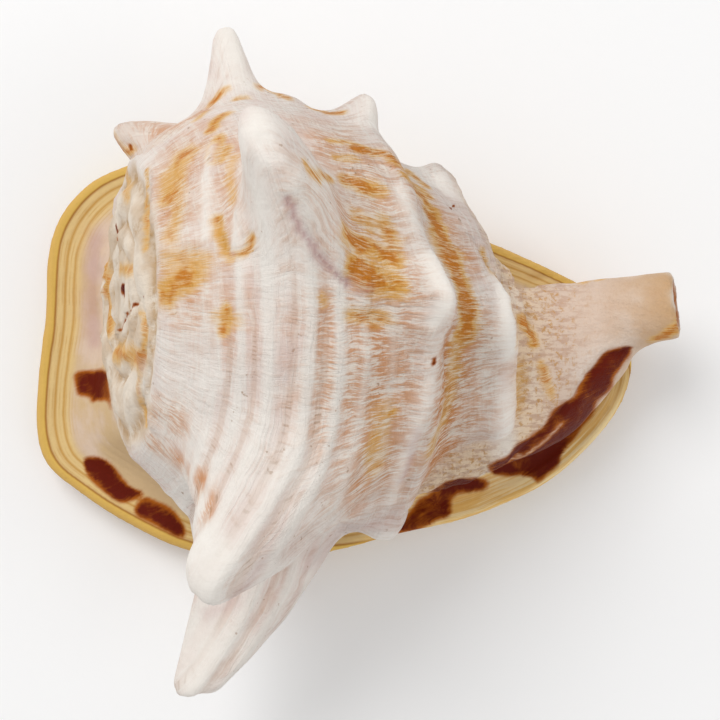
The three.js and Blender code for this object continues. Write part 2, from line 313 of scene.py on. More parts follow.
def remeshed(piece: bpy.types.Object, voxel: float, smoothing: int) -> bpy.types.Object:
    """Rebuild a mesh on a fine voxel grid, which unites what overlaps, then smooth it.

    Args:
        piece: The object to rebuild.
        voxel: Side of a voxel in millimetres.
        smoothing: Number of smoothing rounds.

    Returns:
        The same object.
    """
    remesh = piece.modifiers.new("voxels", "REMESH")
    remesh.mode = "VOXEL"
    remesh.voxel_size = voxel * MM
    even = piece.modifiers.new("even", "SMOOTH")
    even.factor = 0.5
    even.iterations = smoothing
    return applied(piece)


def cut_from(piece: bpy.types.Object, cutter: bpy.types.Object) -> bpy.types.Object:
    """Take one closed mesh away from another.

    Args:
        piece: The mesh to cut.
        cutter: The mesh to take away.

    Returns:
        The first object, cut.
    """
    cut = piece.modifiers.new("cut", "BOOLEAN")
    cut.operation = "DIFFERENCE"
    cut.solver = "MANIFOLD"
    cut.object = cutter
    return applied(piece)


# The spiral
@dataclass(frozen=True)
class Spiral:
    """The coiling axis and the growth of the whorls round it.

    A place is given by its distance along the axis, its distance out from it, and an angle round it
    that starts at +Y and passes over the top to -Y. Lengths are in millimetres, angles in degrees.

    Attributes:
        tip: Where the axis meets the spire's face.
        dip: How far the axis points down towards the canal.
        growth: Growth of the whorls in one turn.
        grows_from: Angle at which the last whorl starts to grow.
        grows_to: Angle at which it stops.
        suture_radius: Radius of the outermost suture at the top.
        suture_width: Half width of a suture, as a share of its radius.
        knobs_per_turn: Number of knobs in a turn of a row.
        knob_row: Turns from a suture to a row of knobs on either side of it.
        knob_width: Half width of the row in turns.
        top_radii: Radii between which sutures and knobs fade in.
        to_middle: Shift into the common frame.
    """

    tip: tuple[float, float, float] = (-70.5, 20.0, 67.0)
    dip: float = 18.0
    growth: float = 1.64
    grows_from: float = -60.0
    grows_to: float = 240.0
    suture_radius: float = 37.0
    suture_width: float = 0.06
    knobs_per_turn: float = 9.0
    knob_row: float = 0.36
    knob_width: float = 0.12
    top_radii: tuple[float, float] = (5, 12)
    to_middle: tuple[float, float, float] = (2.7, 0.6, 0.0)

    @property
    def axes(self) -> np.ndarray:
        """Rows: along the axis, sideways, and up square to it."""
        c, s = np.cos(np.radians(self.dip)), np.sin(np.radians(self.dip))
        return np.array([[c, 0, -s], [0, 1, 0], [s, 0, c]])

    def place(self, along: np.ndarray, out: np.ndarray, turn: np.ndarray) -> np.ndarray:
        """Turn distances and angles into points: tip + along * axis + out * (cos * side + sin * up).

        Args:
            along: Distances along the axis.
            out: Distances out from it.
            turn: Angles round it in radians.

        Returns:
            Points, with a last dimension of three.
        """
        parts = np.stack(np.broadcast_arrays(along, out * np.cos(turn), out * np.sin(turn)), -1)
        return np.asarray(self.tip) + parts @ self.axes

    def growth_at(self, turn: np.ndarray) -> np.ndarray:
        """Growth at an angle: the growth of a whole turn to the power of the turns since the top.

        Under the plate, between the last and the first angle, it falls back to where it began.

        Args:
            turn: Angles round it in radians.

        Returns:
            Factors that are 1 at the top.
        """
        start, stop = np.radians(self.grows_from), np.radians(self.grows_to)
        angle = (turn - start) % (2 * np.pi) + start
        fall = smooth(stop, start + 2 * np.pi, angle)
        grown = np.where(angle <= stop, angle, stop + fall * (start - stop)) - np.pi / 2
        return np.exp(np.log(self.growth) * grown / (2 * np.pi))

    def whorls(self, radius: np.ndarray, turn: np.ndarray) -> tuple[np.ndarray, np.ndarray]:
        """Share of a suture, and share of the rows of knobs between two sutures, on the spire.

        The sutures lie on a spiral that grows as the body does: the turns since the outermost one are
        the logarithm of the radius over the growth's, less the angle. The shares are bell curves.

        Args:
            radius: Distances out from the axis in millimetres.
            turn: Angles round it in radians.

        Returns:
            The two shares, which fade out at the top of the spire and past the outermost suture.
        """
        rate = np.log(self.growth)
        turns = np.log(np.maximum(radius, 1) / self.suture_radius) / rate - (turn - np.pi / 2) / (2 * np.pi)
        off = turns - np.round(turns)
        edge = (1 - smooth(1, 1.5, radius / self.suture_radius)) * smooth(*self.top_radii, radius)
        row = bell((np.abs(off) - self.knob_row) / self.knob_width)
        knobs = row * (0.5 + 0.5 * np.cos(self.knobs_per_turn * turn))
        return bell(off * rate / self.suture_width) * edge, knobs * edge


SPIRAL = Spiral()


# The body
@dataclass(frozen=True)
class Horn:
    """A horn or knob: where it stands on the body, where it points, and how large it is.

    Its height falls off as 1 / (1 + d to the power blunt), with d the distance from its middle in
    half widths, it fades out between the two distances of fade, and it leans back by its height to
    the power bend. The half widths are its width along the axis, and behind and ahead round it.
    """

    along: float
    turn: float
    points: float
    out: float
    back: float
    wide: float
    behind: float
    ahead: float
    bend: float = 1.3
    blunt: float = 3.0
    fade: tuple[float, float] = (1.0, 2.5)
    least_radius: float = 20.0

    def height(self, along: np.ndarray, turn: np.ndarray, radius: np.ndarray) -> np.ndarray:
        """Share of the full height at places on the body.

        Args:
            along: Distances along the axis in millimetres.
            turn: Angles round it in radians.
            radius: Distances out from it in millimetres.

        Returns:
            Shares between 0 and 1.
        """
        off = wrapped(turn - np.radians(self.turn))
        across = off * np.maximum(radius, self.least_radius) / np.where(off < 0, self.behind, self.ahead)
        d = np.hypot(across, (along - self.along) / self.wide)
        return (1 - smooth(*self.fade, d)) / (1 + d**self.blunt)


@dataclass(frozen=True)
class Fold:
    """A soft ridge between two places of the body, each given along the axis and round it."""

    start: tuple[float, float]
    end: tuple[float, float]
    out: float
    wide: float

    def lift(self, along: np.ndarray, turn: np.ndarray, radius: np.ndarray) -> np.ndarray:
        """Lift of the surface: a bell curve across the ridge, fading past its ends.

        Args:
            along: Distances along the axis in millimetres.
            turn: Angles round it in radians.
            radius: Distances out from it in millimetres.

        Returns:
            Lifts in millimetres.
        """
        share = np.clip((along - self.start[0]) / (self.end[0] - self.start[0]), 0, 1)
        middle = np.radians(self.start[1] + share * (self.end[1] - self.start[1]))
        beyond = np.maximum(np.maximum(self.start[0] - along, along - self.end[0]), 0) / self.wide
        aside = wrapped(turn - middle) * radius / self.wide
        return self.out * bell(aside) * bell(beyond)


@dataclass(frozen=True)
class Body:
    """The coiled body: a profile that grows as it turns, with horns, knobs, folds and sutures.

    A row of the profile is a distance along the axis and one out from it. Along the axis, the growth
    ends between the two places of growth_ends.
    """

    profile: tuple[tuple[float, float], ...] = (
        (0, 0), (0.3, 10), (0.7, 22), (1.2, 32), (2, 38), (4, 42.5), (8, 46.5), (14, 52), (22, 58),
        (30, 61.5), (37, 63), (46, 62.5), (55, 61), (64, 59.5), (70, 59.3), (74, 59.5), (77, 57),
        (80.5, 51.5), (85, 47.5), (92, 45), (98, 42.5), (102, 41), (105, 36.5), (109, 30),
        (116, 23.5), (125, 16), (136, 0),
    )
    horns: tuple[Horn, ...] = (
        Horn(30, -33, -8, 9, 22, 10, 9, 10),
        Horn(37, 1, -2, 21, 2, 5.9, 6.6, 6.6, 1.3, 3.6),
        Horn(36, 71, 45, 28.5, 14.5, 9.8, 13, 15, 1.8, 4.6),
        Horn(37, 143, 153, 31, 27, 15, 14, 12),
        Horn(41, 184, 180, 49, 23.5, 14, 9.5, 11, 1.7, 4.5),
        Horn(75, 17, 14, 6, -4, 5, 7, 7),
        Horn(73, 93, 93, 8, -2, 7, 9, 9),
        Horn(70, 176, 178, 6, 0, 7, 8, 8),
        Horn(102, 27, 22, 5.5, 0, 4.6, 5.5, 5.5),
        Horn(102, 104, 100, 4, 0, 6, 9, 9),
        Horn(102, 146, 146, 6, 0, 6, 8, 8),
    )
    folds: tuple[Fold, ...] = (
        Fold((40, 80), (73, 93), 4.5, 9),
        Fold((40, 5), (72, 15), 2, 8),
        Fold((45, 3), (55, 6), 3.6, 6.5),
        Fold((44, 150), (71, 172), 3, 11),
        Fold((78, 93), (101, 102), 2.5, 8),
    )
    suture_depth: float = 2.4
    knob_height: float = 1.8
    growth_ends: tuple[float, float] = (104, 130)
    lean: float = 12.0
    lean_span: tuple[float, float] = (106, 128)
    floor: float = 4.0
    softness: float = 4.0
    rings: int = 320
    steps: int = 520

    def spire(self, radius: np.ndarray, turn: np.ndarray) -> np.ndarray:
        """Sink of the spire's face along the axis: grooves at the sutures less knobs between them."""
        sutures, knobs = SPIRAL.whorls(radius, turn)
        return self.suture_depth * sutures - self.knob_height * knobs

    def build(self) -> bpy.types.Object:
        """Make the body's grid and store each vertex's place on the shell in the attribute spiral.

        The attribute holds the length along the profile in decimetres, and the sine and cosine of the
        angle from the top. The profile is scaled by the growth at each angle, in both its directions.
        The folds lift the surface outwards, each horn adds its height in its own direction, the base
        leans sideways towards the canal, and points that would pass below the plate are kept just
        inside it.

        Returns:
            The body as a closed mesh.
        """
        dense = through(self.profile, 40)
        line = evenly(dense, self.rings + 2)
        length = np.linspace(0, np.sum(np.linalg.norm(np.diff(dense, axis=0), axis=1)), self.rings + 2)
        base_along, base_out = line[:, 0][:, None], line[:, 1][:, None]
        turn = np.radians(SPIRAL.grows_from) + np.linspace(0, 2 * np.pi, self.steps, endpoint=False)[None, :]
        growth = SPIRAL.growth_at(turn)
        radius = base_out * growth
        still = smooth(*self.growth_ends, base_along)
        along = base_along * (growth + (1 - growth) * still) + self.spire(radius, turn)
        lift = sum(fold.lift(base_along, turn, radius) for fold in self.folds)
        points = SPIRAL.place(along, radius + lift, turn)
        for horn in self.horns:
            height = horn.height(base_along, turn, radius)[..., None]
            direction = SPIRAL.place(0, 1, np.radians(horn.points)) - np.asarray(SPIRAL.tip)
            points = points + horn.out * height * direction - horn.back * height**horn.bend * SPIRAL.axes[0]
        points[..., 1] -= self.lean * smooth(*self.lean_span, base_along)
        sunk = points[..., 2] - self.floor - self.softness
        low = self.floor + self.softness * np.exp(np.minimum(sunk, 0) / self.softness)
        points[..., 2] = np.where(sunk < 0, low, points[..., 2])
        body = Surface.of_rings(points[1:-1], points[0, 0], points[-1, 0]).to_object("body")
        angle = turn - np.pi / 2
        length = length[:, None] / DECIMETRE
        spiral = np.stack(np.broadcast_arrays(length, np.sin(angle), np.cos(angle)), -1)
        rows = np.vstack([spiral[0, :1], spiral[1:-1].reshape(-1, 3), spiral[-1, :1]])
        store = body.data.attributes.new("spiral", "FLOAT_VECTOR", "POINT")
        store.data.foreach_set("vector", rows.astype(np.float32).ravel())
        return body


# Lip, shield and canal
@dataclass(frozen=True)
class Plate:
    """The broad plate of outer lip and shield: a rolled section carried round its outline.

    A row of the section is a distance inwards from the rim and a height.
    """

    outline: tuple[tuple[float, float], ...] = (
        (85, 13), (75, 23), (63.8, 29), (49, 36), (36, 41.5), (19.6, 50.7), (-3.3, 62), (-29.5, 69.4),
        (-55.6, 69.5), (-76.9, 63.5), (-87.5, 58.5), (-94.5, 52), (-99, 45), (-101.8, 36), (-103, 15),
        (-105.5, -8), (-105.7, -24), (-102.5, -34), (-91.6, -43.5), (-75.3, -54), (-57.3, -62.2),
        (-35, -66), (-10, -63), (13, -57), (33.4, -52.4), (50.4, -45.8), (62.5, -39.3), (76.9, -26.2),
        (86.2, -13), (89, 0),
    )
    centre: tuple[float, float] = (-8, 3)
    section: tuple[tuple[float, float], ...] = (
        (44, 3), (27, 0.2), (20, 0), (14, 0.1), (8, 2), (3.5, 5.2), (0.9, 8.4), (0.1, 11), (0.9, 12.9),
        (2.8, 13.6), (5.4, 12.6), (8, 11.8), (11, 12.1), (16, 13.4), (20, 16), (25, 23), (30, 32), (34, 40),
    )
    top: float = 40.0
    points: int = 720
    rings: int = 110

    def rim(self) -> np.ndarray:
        """Evenly spaced points of the outline."""
        return evenly(through(self.outline, 40, closed=True), self.points, closed=True)

    def inwards(self, points: np.ndarray) -> np.ndarray:
        """Distance of points from the rim, along the lines that run from it to the centre.

        Args:
            points: Places in millimetres.

        Returns:
            Distances in millimetres.
        """
        rim = self.rim() - self.centre
        angle = np.arctan2(rim[:, 1], rim[:, 0])
        order = np.argsort(angle)
        off = points[:, :2] - self.centre
        reach = np.linalg.norm(rim, axis=1)[order]
        reach = np.interp(np.arctan2(off[:, 1], off[:, 0]), angle[order], reach, period=2 * np.pi)
        return reach - np.linalg.norm(off, axis=1)

    def build(self) -> bpy.types.Object:
        """Carry the section round: each ring is the outline drawn in towards the centre.

        Returns:
            The plate as a closed mesh.
        """
        rim = self.rim()
        centre = np.asarray(self.centre, float)
        section = evenly(through(self.section, 12), self.rings)
        reach = np.linalg.norm(rim - centre, axis=1)[None, :, None]
        flat = rim[None] + (centre - rim)[None] * section[:, 0][:, None, None] / reach
        height = np.broadcast_to(section[:, 1][:, None, None], flat.shape[:2] + (1,))
        first = np.array([*self.centre, self.section[0][1]], float)
        last = np.array([*self.centre, self.top], float)
        return Surface.of_rings(np.concatenate([flat, height], -1), first, last).to_object("plate")


def swept_ovals(rows: Sequence[Sequence[float]], sides: int, steps: int) -> Surface:
    """Carry an oval section along a smooth path, square to it, with closed ends.

    Args:
        rows: For each station its centre, its half width across and its half height.
        sides: Points round a section.
        steps: Sections between two stations.

    Returns:
        The closed tube.
    """
    line = through(rows, steps)
    centre, across, high = line[:, :3], line[:, 3, None, None], line[:, 4, None, None]
    along = np.gradient(centre, axis=0)
    along /= np.linalg.norm(along, axis=1, keepdims=True)
    side = np.cross([0, 0, 1], along)
    side /= np.linalg.norm(side, axis=1, keepdims=True)
    up = np.cross(along, side)
    turn = np.linspace(0, 2 * np.pi, sides, endpoint=False)[None, :, None]
    grid = centre[:, None] + across * np.cos(turn) * side[:, None] + high * np.sin(turn) * up[:, None]
    return Surface.of_rings(grid, centre[0], centre[-1])


@dataclass(frozen=True)
class Canal:
    """The neck towards the siphonal canal and the bore in it.

    A row is a centre in space, then the neck's half width and half height, or the bore's radius.
    """

    neck: tuple[tuple[float, ...], ...] = (
        (14, -4, 34, 40, 27), (34, -4, 31, 34, 27), (50, -3, 28, 27, 24), (62, 3, 27, 23, 19),
        (72, 8.5, 28, 18.5, 15), (80, 13.2, 31, 13.5, 12.5), (89, 15.8, 35.5, 10.9, 10.8),
        (98.4, 17, 38, 10.6, 10),
    )
    bore: tuple[tuple[float, ...], ...] = (
        (105, 17.5, 39.5, 7.4), (97.5, 17, 37.5, 6.6), (88, 15.6, 34, 5.6), (79, 13.6, 27, 5),
        (70, 12, 19, 4.6), (60, 10.5, 13, 4.4), (50, 8, 11, 4.2),
    )

    def build_neck(self) -> bpy.types.Object:
        """The neck: ovals that shrink towards the canal's rim."""
        return swept_ovals(self.neck, sides=160, steps=24).to_object("neck")

    def bore_surface(self) -> Surface:
        """The bore: circles that follow the neck down to the aperture."""
        return swept_ovals([(*row, row[3]) for row in self.bore], sides=60, steps=16)


# Aperture and hollow
@dataclass(frozen=True)
class Teeth:
    """A row of teeth or folds: its span along X, their number and half sizes, and its side of the slit."""

    start: float
    end: float
    count: int
    size: tuple[float, float, float]
    side: int


@dataclass(frozen=True)
class Aperture:
    """The slit of the aperture, its teeth and folds, and the hollow behind it.

    A row of the slit is a centre, a half width and the height to which it cuts. A row of the hollow
    is an angle round the axis in degrees, a distance along it and one out from it, and the oval's half
    sizes in these directions.
    """

    slit: tuple[tuple[float, ...], ...] = (
        (-67, 3, 0.8, 14), (-62, 2, 2.4, 22), (-50, 0, 4.4, 25), (-30, -2, 6.2, 25), (-8, -2, 7.4, 25),
        (14, 0, 7.6, 24), (34, 4.5, 6.8, 20), (50, 8.5, 5, 16), (64, 11.5, 3.2, 17), (76, 13.2, 2.2, 22),
        (86, 15, 1.2, 28), (92, 16, 0.4, 30),
    )
    hollow: tuple[tuple[float, ...], ...] = (
        (-50, 29, 27, 6, 4), (-35, 31, 29, 13, 8), (-10, 34, 32, 18, 11.5), (15, 37, 34, 21, 13),
        (40, 40, 36, 23, 14.5), (78, 43, 37, 26, 16), (100, 45, 38, 30, 18), (130, 47, 40, 33, 19),
        (165, 49, 41.5, 35, 19.5), (195, 52, 42.5, 38, 20), (220, 54, 40, 40, 17.5), (238, 56, 34, 42, 11.5),
        (250, 57, 31, 42, 9), (259, 57, 30, 38, 5),
    )
    flare: float = 4.5
    depth: float = 7.0
    throat: float = 0.8
    teeth: tuple[Teeth, ...] = (
        Teeth(-44, 44, 7, (3.4, 3.4, 4.0), -1),
        Teeth(-30, 38, 8, (1.8, 2.8, 3.2), 1),
    )
    teeth_height: float = 5.0

    def slit_surface(self) -> Surface:
        """The slit: a flared section with rounded shoulders, carried along the aperture.

        Returns:
            The slit, to be taken away.
        """
        line = through(self.slit, 14)
        half, height = line[:, 2], line[:, 3]
        way = np.gradient(line[:, :2], axis=0)
        way /= np.linalg.norm(way, axis=1, keepdims=True)
        side = np.stack([-way[:, 1], way[:, 0], 0 * half], 1)
        mouth = half + self.flare * np.minimum(1, half / 5)
        shoulder = half + 0.35 * (mouth - half)
        level = np.ones_like(half)
        corners = (
            (mouth, -2 * level),
            (shoulder, 1.8 * level),
            (half, self.depth * level),
            (half * self.throat, height),
        )
        both = [(1, *corner) for corner in corners] + [(-1, *corner) for corner in reversed(corners)]
        ring = [
            np.stack([line[:, 0], line[:, 1], z], 1) + hand * across[:, None] * side
            for hand, across, z in both
        ]
        ends = [np.array([line[i, 0], line[i, 1], line[i, 3] / 2]) for i in (0, -1)]
        return Surface.of_rings(np.stack(ring, 1), *ends)

    def hollow_surface(self) -> Surface:
        """The hollow: an oval in the plane of the axis, which narrows as it turns back over the top.

        Returns:
            The hollow, to be taken away.
        """
        line = through(self.hollow, 12)
        turn = np.radians(line[:, 0])[:, None]
        oval = np.linspace(0, 2 * np.pi, 64, endpoint=False)[None, :]
        along = line[:, 1, None] + line[:, 3, None] * np.cos(oval)
        out = line[:, 2, None] + line[:, 4, None] * np.sin(oval)
        ends = [SPIRAL.place(line[i, 1], line[i, 2], np.radians(line[i, 0])) for i in (0, -1)]
        return Surface.of_rings(SPIRAL.place(along, out, turn), *ends)

    def ridge_surfaces(self) -> list[Surface]:
        """The lip's teeth and the shield's folds: stretched balls on the two edges of the slit.

        Returns:
            One closed surface for each tooth or fold.
        """
        line = through(self.slit, 40)
        u = np.linspace(0, np.pi, 14)[1:-1, None]
        v = np.linspace(0, 2 * np.pi, 24, endpoint=False)[None, :]
        ball = np.stack(np.broadcast_arrays(np.sin(u) * np.cos(v), np.sin(u) * np.sin(v), np.cos(u)), -1)
        ridges = []
        for row in self.teeth:
            pole = np.array([0, 0, row.size[2]])
            for x in np.linspace(row.start, row.end, row.count):
                y, half = (np.interp(x, line[:, 0], line[:, i]) for i in (1, 2))
                centre = np.array([x, y + row.side * half, self.teeth_height])
                ridges.append(Surface.of_rings(centre + ball * row.size, centre + pole, centre - pole))
        return ridges


# The photograph's view
@dataclass(frozen=True)
class View:
    """The photograph's view: straight down from above the shell, in its 720 pixels."""

    height: float = 550.0
    focal: float = 1650.0
    middle: float = 360.0

    def pixels(self, points: np.ndarray) -> np.ndarray:
        """Pixel places of points: middle + focal * sideways / distance below the camera."""
        far = self.focal / (self.height - points[:, 2])
        return np.stack([self.middle + points[:, 0] * far, self.middle - points[:, 1] * far], 1)

    def make_camera(self) -> None:
        """Set the camera up; its lens is the sensor's width times the focal length in picture widths."""
        camera = bpy.data.objects.new("camera", bpy.data.cameras.new("camera"))
        camera.data.sensor_width = SENSOR
        camera.data.lens = SENSOR * self.focal / (2 * self.middle)
        camera.location = (SPIRAL.to_middle[0] * MM, SPIRAL.to_middle[1] * MM, self.height * MM)
        bpy.context.scene.collection.objects.link(camera)
        bpy.context.scene.camera = camera


VIEW = View()


class Seen:
    """The part of the surface that faces the photograph's camera, to find places on it by pixel."""

    CELLS = 201  # cells on a side of the grid that covers the picture
    PIXELS_APART = 3.0  # spacing of the places that are looked up along a line
    STOPS_APART = 0.6  # spacing of the points of a line on the surface, in millimetres
    MOST_STOPS = 400  # most points of such a line

    def __init__(
        self, points: np.ndarray, normals: np.ndarray, cell: float = 6.0, margin: float = 12.0
    ) -> None:
        """Keep the points that face up and lie near the highest surface in their cell of pixels.

        Args:
            points: The surface's points.
            normals: Their normals.
            cell: Side of a cell in pixels.
            margin: How far below the highest point of its cell a point may lie, in millimetres.
        """
        pixels = VIEW.pixels(points)
        i, j = np.clip((pixels / cell).astype(int), 0, self.CELLS - 1).T
        top = np.full((self.CELLS, self.CELLS), -np.inf)
        np.maximum.at(top, (i, j), points[:, 2])
        shown = (normals[:, 2] > 0.08) & (points[:, 2] > top[i, j] - margin)
        self.points, self.pixels = points[shown], pixels[shown]

    def find(self, places: np.ndarray) -> np.ndarray:
        """Find the surface points nearest to places in the picture."""
        off = self.pixels[None, :, :] - places[:, None, :]
        return self.points[np.argmin(np.sum(off * off, -1), axis=1)]

    def distance(self, path: Sequence[Sequence[float]], points: np.ndarray, reach: float) -> np.ndarray:
        """Distance of points from a line drawn on the surface.

        The line is set out as points of the surface with closely spaced points between them, and the
        distance to the nearest of them is taken.

        Args:
            path: The line's corners in the picture.
            points: Points to measure from.
            reach: Distance past which the exact value doesn't matter.

        Returns:
            The distances in millimetres.
        """
        corners = np.asarray(path, float)
        length = np.sum(np.linalg.norm(np.diff(corners, axis=0), axis=1)) if len(corners) > 1 else 0
        count = int(length / self.PIXELS_APART)
        places = evenly(through(corners, 12), max(2, count)) if length > self.PIXELS_APART else corners[:1]
        stops = self.find(places)
        if len(stops) > 1:
            spread = np.sum(np.linalg.norm(np.diff(stops, axis=0), axis=1))
            stops = evenly(stops, max(2, min(self.MOST_STOPS, int(spread / self.STOPS_APART))))
        low, high = stops.min(0) - reach, stops.max(0) + reach
        near = np.flatnonzero(np.all((points > low) & (points < high), axis=1))
        off = points[near, None, :] - stops[None, :, :]
        distance = np.full(len(points), 1e3)
        distance[near] = np.sqrt(np.min(np.sum(off * off, -1), axis=1))
        return distance


# Marks and fine relief
Path = tuple[tuple[float, float], ...]


class Tint(Enum):
    """Kinds of mark; the value is the channel of the attribute marks."""

    # Mostly real stains, plus two lines of painted shade along the whorl's overhanging left edge
    STAIN_AND_SHADE = 0
    DARK = 1
    WORN = 2
    # Mauve painted shade: along creases, under horn C's tip and where the body meets the plate
    MAUVE_SHADE = 3


@dataclass(frozen=True)
class Mark:
    """A coloured streak: its path in the picture, half width in millimetres and strength.

    A strength below 0 takes the tint away.
    """

    tint: Tint
    path: Path
    wide: float
    strength: float


def marks_of(tint: Tint, *rows: tuple[Path, float, float]) -> tuple[Mark, ...]:
    """Make marks of one tint from rows of path, half width and strength."""
    return tuple(Mark(tint, *row) for row in rows)


@dataclass(frozen=True)
class Wash:
    """A soft ochre wash along a line in the picture, with a half width in millimetres and a strength."""

    path: Path
    wide: float
    strength: float


@dataclass(frozen=True)
class Blotch:
    """A dark blotch of the lip: its outline in the picture and how dark it gets."""

    outline: Path
    strength: float


@dataclass(frozen=True)
class Crease:
    """A fine ridge or groove: its path in the picture, half width and lift in millimetres."""

    path: Path
    wide: float
    lift: float


@dataclass(frozen=True)
class Cord:
    """A broad cord that follows the spiral through a place in the picture.

    It has a half width and a lift in millimetres and fades past a range of degrees round the axis.
    """

    anchor: tuple[float, float]
    wide: float
    lift: float
    start: float = 95.0
    end: float = 215.0

    @property
    def whiteness(self) -> float:
        """Share of a cord for the colours: full from a lift of 0.7 mm, and below 0 in a trough."""
        return min(1.0, self.lift / 0.7) if self.lift > 0 else -1.0


